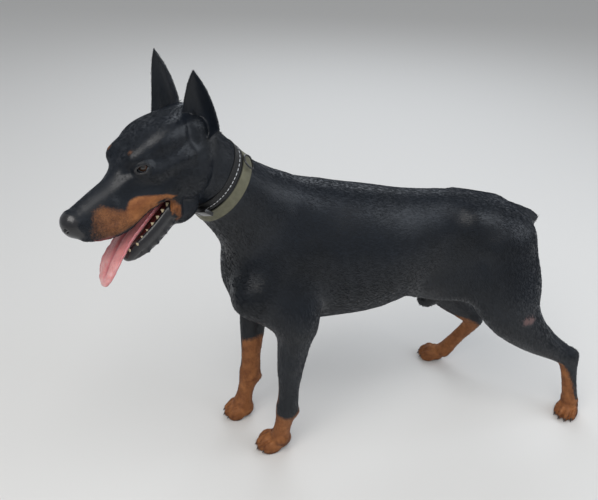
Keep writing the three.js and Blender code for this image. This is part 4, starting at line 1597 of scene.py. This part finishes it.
def make_claws(material):
    bm = bmesh.new()
    for sole, width, height in FEET:
        heel, ahead, across, length, _ = paw_frame(sole)
        for sideways, forward in TOES:
            start = heel + ahead * (forward + 0.19) * length
            start = start + across * sideways * width * 1.04 + arr((0, 0, height * 0.34))
            add_claw(bm, start, unit(ahead + across * sideways * 0.3))
    obj = joined("claws", bm)
    finish_piece(obj, "coat", material)


# Collars
# Each strap's middle on the neck's line, the way that line goes there, and the half breadth of
# the skin that the strap covers.
STRAP_AT = {
    "wide": ((-158, -53, 724), (-0.72, -0.31, 0.62), 15),
    "narrow": ((-174, -60, 746), (-0.72, -0.32, 0.61), 12.5),
}
STRAP_ROUND = 0.46  # metres, the way round that the weave is measured by
STRAP_LIFT, RING_LIFT, BUCKLE_LIFT = 1.5, 4.5, 5  # over the skin
RING_TURN, BUCKLE_TURN = 270, 150  # degrees round the neck


def strap_axes(which):
    place, normal, _ = STRAP_AT[which]
    normal = unit(normal)
    across = unit(np.cross((-1, 0, 0), normal))
    return arr(place), normal, across, np.cross(normal, across)


def neck_reach(starts, rays, lift):
    """How far each ray goes to reach a lift over the skin."""
    reach = np.zeros(len(starts))
    for _ in range(46):
        gap = DOG(starts + rays * reach[:, None]) - lift
        reach += np.clip(-gap * 0.8, -6, 12)
    return reach


def neck_spots(which, degrees, offsets, lift):
    place, normal, across, up = strap_axes(which)
    turn = np.radians(degrees)
    rays = np.cos(turn)[:, None] * across + np.sin(turn)[:, None] * up
    starts = place + normal * arr(offsets)[:, None]
    reach = neck_reach(starts, rays, lift)
    return starts + rays * reach[:, None]


def unit_rows(v):
    return v / np.maximum(np.linalg.norm(v, axis=1), TINY)[:, None]


def strap_spots(which, degrees, offsets, lift):
    """Places for the strap's grid, drawn in part of the way where its edges dip."""
    spots = neck_spots(which, degrees, offsets, lift)
    middle = neck_spots(which, degrees, offsets * 0, lift)
    ring = unit_rows(middle - arr(STRAP_AT[which][0]))
    reach = ((spots - middle) * ring).sum(1)
    return spots - ring * (reach * 0.35 * (reach < 0))[:, None]


def bevelled(bm, edges, offset, segments):
    bmesh.ops.bevel(
        bm, geom=edges, offset=offset, offset_type="OFFSET", affect="EDGES",
        segments=segments, profile=0.5, material=-1, clamp_overlap=True,
    )


def make_strap(which, slot_name, sizes, material):
    breadth = sizes.wide if which == "wide" else sizes.narrow
    bm = bmesh.new()
    bmesh.ops.create_grid(bm, x_segments=200, y_segments=6, size=1.0)
    along_layer = bm.verts.layers.float.new("along")
    across_layer = bm.verts.layers.float.new("across")
    grid = arr([vert.co[:] for vert in bm.verts])
    degrees = (grid[:, 0] + 1) * 180
    spots = strap_spots(which, degrees, grid[:, 1] * breadth / 2 * MM, STRAP_LIFT)
    for i, vert in enumerate(bm.verts):
        vert.co = to_row(spots[i])
        vert[along_layer] = degrees[i] / 360 * STRAP_ROUND
        vert[across_layer] = grid[i, 1]
    bmesh.ops.remove_doubles(bm, verts=bm.verts, dist=0.00005)
    faces = list(bm.faces)
    bmesh.ops.recalc_face_normals(bm, faces=faces)
    centre = Vector(to_row(STRAP_AT[which][0]))
    if sum((face.calc_center_median() - centre).dot(face.normal) for face in faces) < 0:
        bmesh.ops.reverse_faces(bm, faces=faces)
    bmesh.ops.solidify(bm, geom=faces, thickness=sizes.thickness)
    edges = [e for e in bm.edges if len(e.link_faces) == 2 and e.calc_face_angle(0) > 0.9]
    bevelled(bm, edges, 0.0007, 2)
    obj = joined(f"strap_{which}", bm)
    finish_piece(obj, slot_name, material, f"collar_{which}")


def on_neck(which, degrees, lift):
    """A matrix there: z out of the neck and y along it."""
    skin_spot = neck_spots(which, arr([degrees]), arr([0]), 0)[0]
    place, normal, *_ = strap_axes(which)
    out = unit(skin_spot - place)
    x = unit(np.cross(normal, out))
    return basis(x, np.cross(out, x), out, skin_spot + out * lift)


def make_ring(radius, wire_radius, lift, material):
    """A D-shaped ring, lying on the strap."""
    bm = bmesh.new()
    bmesh.ops.create_circle(bm, cap_ends=False, radius=wire_radius, segments=14)
    upright = Matrix.Rotation(math.pi / 2, 3, "X")
    bmesh.ops.rotate(bm, verts=bm.verts, cent=(0, 0, 0), matrix=upright)
    bmesh.ops.translate(bm, verts=bm.verts, vec=(radius, 0, 0))
    bmesh.ops.spin(
        bm, geom=bm.edges[:] + bm.verts[:], cent=(0, 0, 0), axis=(0, 0, 1),
        angle=2 * math.pi, steps=64, use_merge=True, use_duplicate=False,
    )
    flat = -radius * 0.35
    for vert in bm.verts:
        if vert.co.y < flat:
            vert.co.y = flat + (vert.co.y - flat) * 0.22
    bmesh.ops.remove_doubles(bm, verts=bm.verts, dist=0.00001)
    bmesh.ops.transform(bm, matrix=on_neck("wide", RING_TURN, lift), verts=bm.verts)
    finish_piece(joined("ring", bm), "wire", material, "collar_ring")


def make_buckle(size, lift, material):
    """A moulded side-release buckle: a body, two prongs and a rounded end."""
    # Each block's place and size as shares of the buckle's own.
    blocks = [
        ((0, 0), (1, 1, 1)),
        ((-0.62, 0.3), (0.4, 0.22, 0.75)),
        ((-0.62, -0.3), (0.4, 0.22, 0.75)),
        ((-0.82, 0), (0.34, 0.96, 0.85)),
    ]
    bm = bmesh.new()
    for (x, y), shares in blocks:
        cube = bmesh.ops.create_cube(bm, size=1.0)["verts"]
        bmesh.ops.scale(bm, vec=[s * share for s, share in zip(size, shares)], verts=cube)
        bmesh.ops.translate(bm, vec=(x * size[0], y * size[1], 0), verts=cube)
    bevelled(bm, bm.edges[:], 0.0012, 3)
    bmesh.ops.translate(bm, vec=(size[0] * 0.3, 0, 0), verts=bm.verts)
    bmesh.ops.transform(bm, matrix=on_neck("narrow", BUCKLE_TURN, lift), verts=bm.verts)
    finish_piece(joined("buckle", bm), "buckle", material, "collar_buckle")


# Coat
def skin_unwrap(obj):
    """An unwrap of the skin's own shape; gives each face's mean place on it."""
    bpy.context.view_layer.objects.active = obj
    obj.select_set(True)
    bpy.ops.object.mode_set(mode="EDIT")
    bpy.ops.mesh.select_all(action="SELECT")
    bpy.ops.uv.smart_project(angle_limit=1.15, island_margin=0.002)
    bpy.ops.object.mode_set(mode="OBJECT")
    obj.select_set(False)
    mesh = obj.data
    uv = read(mesh.uv_layers.active.data, "uv", 2)
    starts = read(mesh.polygons, "loop_start", kind=np.int64)
    totals = read(mesh.polygons, "loop_total", kind=np.int64)
    return np.add.reduceat(uv, starts, axis=0) / totals[:, None]


def towards(value, aim, share):
    return value * (1 - share) + aim * share


def tuft_lengths(points):
    """Length of a tuft by place, in millimetres."""
    h = to_head(points)
    skull = np.minimum(HEAD(points), JAW(points))
    on_head = step_between(h[:, 0], -20, 40) * step_between(skull, 30, 12)
    length = 9.0 - 2.4 * step_between(points[:, 2], 330, 230)
    length = towards(length, 4.6, on_head)
    length = towards(length, 4.2, step_between(points[:, 2], 90, 40))
    length -= 1.8 * on_head * np.maximum(step_between(h[:, 0], 110, 160), JAW(points) < 3)
    return towards(length, 2.6, np.maximum(on_ear(points, L), on_ear(points, R)))


def under_straps(points):
    """Places that the two straps cover."""
    covered = np.zeros(len(points), dtype=bool)
    for which, (*_, half) in STRAP_AT.items():
        place, normal, *_ = strap_axes(which)
        d = points - place
        covered |= (np.abs(d @ normal) < half) & ((d**2).sum(1) < 120**2)
    return covered


BALD_FROM = 0.25  # how bare a face may be before no tuft grows on it
COAT_FROM = 3  # how high over the floor the coat starts


def haired(mesh, points):
    """The faces that hair grows on, by their first corners and their places."""
    first = read(mesh.loops, "vertex_index", kind=np.int64)
    corner = first[read(mesh.polygons, "loop_start", kind=np.int64)]
    masks = [read(mesh.attributes[name].data, "value") for name in ("bare", "mouth", "scuff")]
    hairless = np.maximum.reduce(masks)[corner] >= BALD_FROM
    return ~hairless & (points[:, 2] > COAT_FROM) & ~under_straps(points)


TUFT_WIDTH = 0.17  # of its length
SWING = 0.16  # spread of the tufts' ways about the coat's lie
TUFT_FLOOR = 0.4  # lowest place of a tuft, in millimetres


def grow_coat(skin, settings, material):
    mesh = skin.data
    uvs = skin_unwrap(skin)
    points = to_withers(read(mesh.polygons, "center", 3))
    areas = read(mesh.polygons, "area")
    length = tuft_lengths(points)
    weight = areas / length**1.25 * haired(mesh, points)
    rng = np.random.default_rng(settings.seed)
    chosen = rng.choice(len(points), size=settings.tufts, p=weight / weight.sum())
    count = len(chosen)
    lie = coat_lie(points[chosen])
    n = read(mesh.polygons, "normal", 3)[chosen]
    way = unit_rows(lie - n * (lie * n).sum(1)[:, None])
    swing = rng.normal(0, SWING, count)
    way = unit_rows(way + np.cross(n, way) * swing[:, None])
    across = np.cross(n, way)
    spread = np.sqrt(areas[chosen])[:, None] * 900
    root = points[chosen] + way * rng.uniform(-1, 1, (count, 1)) * spread
    root += across * rng.uniform(-1, 1, (count, 1)) * spread
    size = (length[chosen] * rng.uniform(0.75, 1.25, count))[:, None]
    half = across * (TUFT_WIDTH * length[chosen] * rng.uniform(0.35, 0.6, count))[:, None]
    rise = settings.rise * rng.uniform(0.5, 1.5, (count, 1))
    sunk = root - n * 0.3
    middle = root + way * size * 0.5 + n * (rise * size * 0.75 + 0.12)
    tip = root + way * size + n * (rise * size * 0.7)
    blade = [sunk - half, sunk + half, middle + half * 0.9, tip, middle - half * 0.9]
    spots = np.stack(blade, 1)
    spots[:, :, 2] = np.maximum(spots[:, :, 2], TUFT_FLOOR)
    tan = tan_amount(root, n)
    shade = rng.uniform(0, 0.4, count)
    pieces = math.ceil(settings.tufts / settings.piece_tufts)
    order = np.argsort(points[chosen][:, 0] + points[chosen][:, 2] * 0.2, kind="stable")
    for index, rows in enumerate(np.array_split(order, pieces)):
        name = f"coat_{index + 1}"
        tuft_mesh(name, spots[rows], tan[rows], shade[rows], uvs[chosen[rows]], material)
    mesh.uv_layers.remove(mesh.uv_layers.active)


CORNERS = 5
PATCH = [(-1, -1), (1, -1), (1, 0.2), (0, 1), (-1, 0.2)]
PATCH_SIZE = 0.0015


def tuft_mesh(name, spots, tan, shade, uvs, material):
    """One mesh of pointed blades, each a patch on the skin's unwrap at its root."""
    count = len(spots)
    mesh = bpy.data.meshes.new(name)
    mesh.vertices.add(count * CORNERS)
    set_coordinates(mesh, to_row(spots.reshape(-1, 3)))
    mesh.loops.add(count * CORNERS)
    mesh.loops.foreach_set("vertex_index", np.arange(count * CORNERS, dtype=np.int32))
    mesh.polygons.add(count)
    mesh.polygons.foreach_set("loop_start", np.arange(count, dtype=np.int32) * CORNERS)
    mesh.update(calc_edges=True)
    layer = mesh.uv_layers.new(name="OFBake")
    patches = uvs[:, None, :] + arr(PATCH)[None] * PATCH_SIZE
    layer.data.foreach_set("uv", patches.astype(np.float32).ravel())
    write_mask(mesh, "tan", np.repeat(tan, CORNERS))
    write_mask(mesh, "shade", np.repeat(shade, CORNERS))
    mesh.validate()
    obj = bpy.data.objects.new(name, mesh)
    bpy.context.scene.collection.objects.link(obj)
    finish_piece(obj, "coat", material)


# Settings
def colour(name, description, default):
    return FloatVectorProperty(
        name=name, description=description, default=default, subtype="COLOR", size=3, min=0, max=1
    )


def metres(name, description, default):
    return FloatProperty(
        name=name, description=description, default=default, min=0.0, unit="LENGTH", precision=4
    )


def watts(name, description, default):
    return FloatProperty(name=name, description=description, default=default, min=0, unit="POWER")


def whole(name, description, default, least=1000):
    return IntProperty(name=name, description=description, default=default, min=least)


class DogColours(PropertyGroup):
    """Colours of the coat, the wet parts and the collars."""

    black: colour("Black coat", "Colour of the black hair", (0.0034, 0.0052, 0.0084))
    rust: colour("Rust", "Colour of the rust markings", (0.35, 0.135, 0.042))
    rust_dark: colour("Dark rust", "Darker hair in the markings", (0.19, 0.062, 0.018))
    leather: colour("Nose leather", "Colour of nose, lips and pads", (0.0075, 0.0075, 0.009))
    lining: colour("Mouth lining", "Colour of the inside of the mouth", (0.26, 0.07, 0.06))
    tongue: colour("Tongue", "Colour of the tongue", (0.72, 0.27, 0.27))
    # Painted highlight colour for the top of the tongue's tip.
    tongue_tip_highlight: colour("Tongue tip highlight", "Painted highlight on the top of the tip", (0.80, 0.46, 0.45))
    iris: colour("Iris", "Colour of the iris", (0.035, 0.014, 0.006))
    tooth: colour("Tooth", "Colour of the teeth", (0.62, 0.50, 0.30))
    claw: colour("Claw", "Colour of the claws", (0.02, 0.017, 0.015))
    olive: colour("Wide strap", "Colour of the wide strap", (0.145, 0.14, 0.09))
    web: colour("Webbing", "Colour of the narrow strap", (0.011, 0.011, 0.012))
    hardware: colour("Hardware", "Colour of the ring and buckle", (0.012, 0.012, 0.013))
    floor: colour("Floor", "Colour of the floor", (0.70, 0.69, 0.67))


class DogSkin(PropertyGroup):
    """Fineness of the skin and the openings of the lids."""

    cell: metres("Cell", "Size of the first grid over the body", 0.0059)
    lid_width: metres("Lid half width", "Half the width of the opening of the lids", 0.0114)
    lid_height: metres("Lid half height", "Half the height of the opening of the lids", 0.0068)


class DogCoat(PropertyGroup):
    """How the short tufts lie over the skin."""

    tufts: whole("Tufts", "How many tufts cover the dog", 190000)
    piece_tufts: whole("Tufts a piece", "How many tufts share a mesh", 50000)
    seed: whole("Seed", "Start of the random draw", 7, 0)
    rise: FloatProperty(
        name="Rise", description="How far tips stand off, by length", default=0.035, min=0
    )


class DogCollars(PropertyGroup):
    """Sizes of the two collars and their hardware."""

    wide: metres("Wide strap", "Breadth of the wide strap", 0.026)
    narrow: metres("Narrow strap", "Breadth of the narrow strap", 0.021)
    thickness: metres("Thickness", "Thickness of both straps", 0.003)
    ring_radius: metres("Ring radius", "Radius of the ring's wire path", 0.015)
    ring_wire: metres("Ring wire", "Radius of the ring's wire", 0.0019)
    buckle: FloatVectorProperty(
        name="Buckle", description="Size of the buckle's body", size=3, unit="LENGTH",
        default=(0.026, 0.022, 0.008),
    )


class DogStage(PropertyGroup):
    """Floor, lights and camera."""

    floor_size: metres("Floor", "Size of the floor", 40.0)
    key_power: watts("Key light", "Power of the large light", 85)
    fill_power: watts("Fill light", "Power of each of the two smaller lights", 34)
    lens: FloatProperty(
        name="Lens", description="Focal length in millimetres", default=42.19, min=1
    )


SETTINGS = [
    ("dog_colours", DogColours),
    ("dog_skin", DogSkin),
    ("dog_coat", DogCoat),
    ("dog_collars", DogCollars),
    ("dog_stage", DogStage),
]


LEAST_VERTICES = 20000


class BuildSkin(Operator):
    """Builds the dog's skin over its forms, with ears, lids, nose and folds"""

    bl_idname = "dog.build_skin"
    bl_label = "Skin"

    def execute(self, context):
        scene = context.scene
        settings = scene.dog_skin
        obj = remeshed("skin", DOG, settings.cell)
        shape_skin(obj)
        add_ears(obj)
        relax(obj.data, 14, 0.5, near_ear_roots)
        open_eyes_and_nose(obj, settings)
        co = coordinates(obj.data)
        co[:, 2] = np.maximum(co[:, 2], SKIN_FLOOR)
        set_coordinates(obj.data, co)
        if len(obj.data.vertices) < LEAST_VERTICES:
            raise RuntimeError("the skin lost most of its faces")
        mark_skin(obj.data)
        finish_piece(obj, "coat", skin_material(scene.dog_colours), *FLESH)
        return {"FINISHED"}


class BuildEyes(Operator):
    """Builds the two dark brown eyes"""

    bl_idname = "dog.build_eyes"
    bl_label = "Eyes"

    def execute(self, context):
        material = eye_material(context.scene.dog_colours)
        for side in (L, R):
            make_eye(side, material)
        return {"FINISHED"}


class BuildMouth(Operator):
    """Builds the teeth and the tongue"""

    bl_idname = "dog.build_mouth"
    bl_label = "Mouth"

    def execute(self, context):
        colours = context.scene.dog_colours
        make_teeth(plain_material("Tooth enamel", colours.tooth, 0.25, 90, 0.0002, 0.4, 0.55))
        make_tongue(tongue_material(colours))
        return {"FINISHED"}


class BuildClaws(Operator):
    """Builds the claws of the four feet"""

    bl_idname = "dog.build_claws"
    bl_label = "Claws"

    def execute(self, context):
        colours = context.scene.dog_colours
        make_claws(plain_material("Dark claw", colours.claw, 0.4, 60, 0.0004, 0.1, 1.8))
        return {"FINISHED"}


class BuildCollars(Operator):
    """Builds the olive strap, the stitched webbing, the ring and the buckle"""

    bl_idname = "dog.build_collars"
    bl_label = "Collars"

    def execute(self, context):
        scene = context.scene
        colours, sizes = scene.dog_colours, scene.dog_collars
        olive = strap_material("Olive strap", colours.olive, 900, 0.25, False)
        web = strap_material("Black webbing", colours.web, 2800, 0.6, True)
        hardware = colours.hardware
        black = plain_material("Black wire", hardware, 0.28, 120, 0.0002, 0.3, 1.6)
        plastic = plain_material("Black moulded plastic", hardware, 0.3, 200, 0.0002, 0.3, 1.5)
        make_strap("wide", "strap", sizes, olive)
        make_strap("narrow", "webbing", sizes, web)
        make_ring(sizes.ring_radius, sizes.ring_wire, RING_LIFT + sizes.ring_wire * MM, black)
        make_buckle(sizes.buckle, BUCKLE_LIFT + sizes.buckle[2] / 2 * MM, plastic)
        return {"FINISHED"}


class BuildCoat(Operator):
    """Grows short tufts over the skin, with the same markings"""

    bl_idname = "dog.build_coat"
    bl_label = "Coat"

    def execute(self, context):
        skin = bpy.data.objects.get("skin")
        if skin is None:
            raise RuntimeError("the coat needs the skin")
        grow_coat(skin, context.scene.dog_coat, tuft_material())
        return {"FINISHED"}


# The camera's place in the withers frame and its right, up and back.
CAMERA_AT = (-329.066, -1283.888, 1312.738)
CAMERA_AXES = (
    (0.96814, -0.24929, 0.02365),
    (0.10789, 0.50050, 0.85899),
    (-0.22597, -0.82907, 0.51145),
)
LIGHTS_AIM = (0.05, 0.0, 0.5)
WARM, COOL = (1, 0.98, 0.95), (0.86, 0.92, 1)
# Each light's name, place, breadth in metres, tint and the setting of its power.
LIGHTS = [
    ("Key light", (-1.2, -1.6, 3.4), 2.6, WARM, "key_power"),
    ("Fill light", (2.4, -1.0, 2.2), 2.2, COOL, "fill_power"),
    ("Back light", (0.8, 2.6, 2.6), 2.4, COOL, "fill_power"),
]
SKY_COLOUR, SKY_STRENGTH = (0.93, 0.96, 1, 1), 0.42


def area_light(name, place, size, tint, power):
    light = bpy.data.lights.new(name, "AREA")
    light.energy, light.size, light.color = power, size, tint
    obj = bpy.data.objects.new(name, light)
    obj.location = place
    ahead = Vector(LIGHTS_AIM) - Vector(place)
    obj.rotation_euler = ahead.to_track_quat("-Z", "Y").to_euler()
    bpy.context.scene.collection.objects.link(obj)


class BuildStage(Operator):
    """Sets the floor, the soft lights, the sky and the camera"""

    bl_idname = "dog.build_stage"
    bl_label = "Stage"

    def execute(self, context):
        scene = context.scene
        settings = scene.dog_stage
        bm = bmesh.new()
        bmesh.ops.create_grid(bm, x_segments=1, y_segments=1, size=settings.floor_size / 2)
        floor = joined("floor", bm)
        material, _, shader = new_material("Pale floor")
        shader.inputs["Base Color"].default_value = (*scene.dog_colours.floor, 1)
        shader.inputs["Roughness"].default_value = 0.9
        floor.data.materials.append(material)
        for name, place, size, tint, power in LIGHTS:
            area_light(name, place, size, tint, getattr(settings, power))
        world = bpy.data.worlds.new("Soft sky")
        world.use_nodes = True
        sky = world.node_tree.nodes["Background"]
        sky.inputs["Color"].default_value = SKY_COLOUR
        sky.inputs["Strength"].default_value = SKY_STRENGTH
        scene.world = world
        scene.view_settings.view_transform = "Standard"
        camera = bpy.data.cameras.new("Camera")
        camera.lens = settings.lens
        camera.sensor_width = 36
        obj = bpy.data.objects.new("Camera", camera)
        turn = Matrix(CAMERA_AXES).transposed().to_4x4()
        obj.matrix_world = Matrix.Translation(Vector(to_row(CAMERA_AT))) @ turn
        scene.collection.objects.link(obj)
        scene.camera = obj
        return {"FINISHED"}


STEPS = (BuildSkin, BuildEyes, BuildMouth, BuildClaws, BuildCollars, BuildCoat, BuildStage)


class DogPanel(Panel):
    """Lists the dog's settings and the steps that build it"""

    bl_idname = "VIEW3D_PT_dog"
    bl_label = "Dog"
    bl_space_type = "VIEW_3D"
    bl_region_type = "UI"
    bl_category = "Dog"

    def draw(self, context):
        for step in STEPS:
            self.layout.operator(step.bl_idname)
        for name, group in SETTINGS:
            box = self.layout.box()
            settings = getattr(context.scene, name)
            for key in group.__annotations__:
                box.prop(settings, key)


CLASSES = [group for _, group in SETTINGS] + [*STEPS, DogPanel]


def register():
    for made in CLASSES:
        bpy.utils.register_class(made)
    for name, group in SETTINGS:
        setattr(bpy.types.Scene, name, PointerProperty(type=group))


def unregister():
    for name, _ in SETTINGS:
        delattr(bpy.types.Scene, name)
    for made in reversed(CLASSES):
        bpy.utils.unregister_class(made)


def main():
    register()
    for step in STEPS:
        family, name = step.bl_idname.split(".")
        getattr(getattr(bpy.ops, family), name)()


if __name__ == "__main__":
    main()
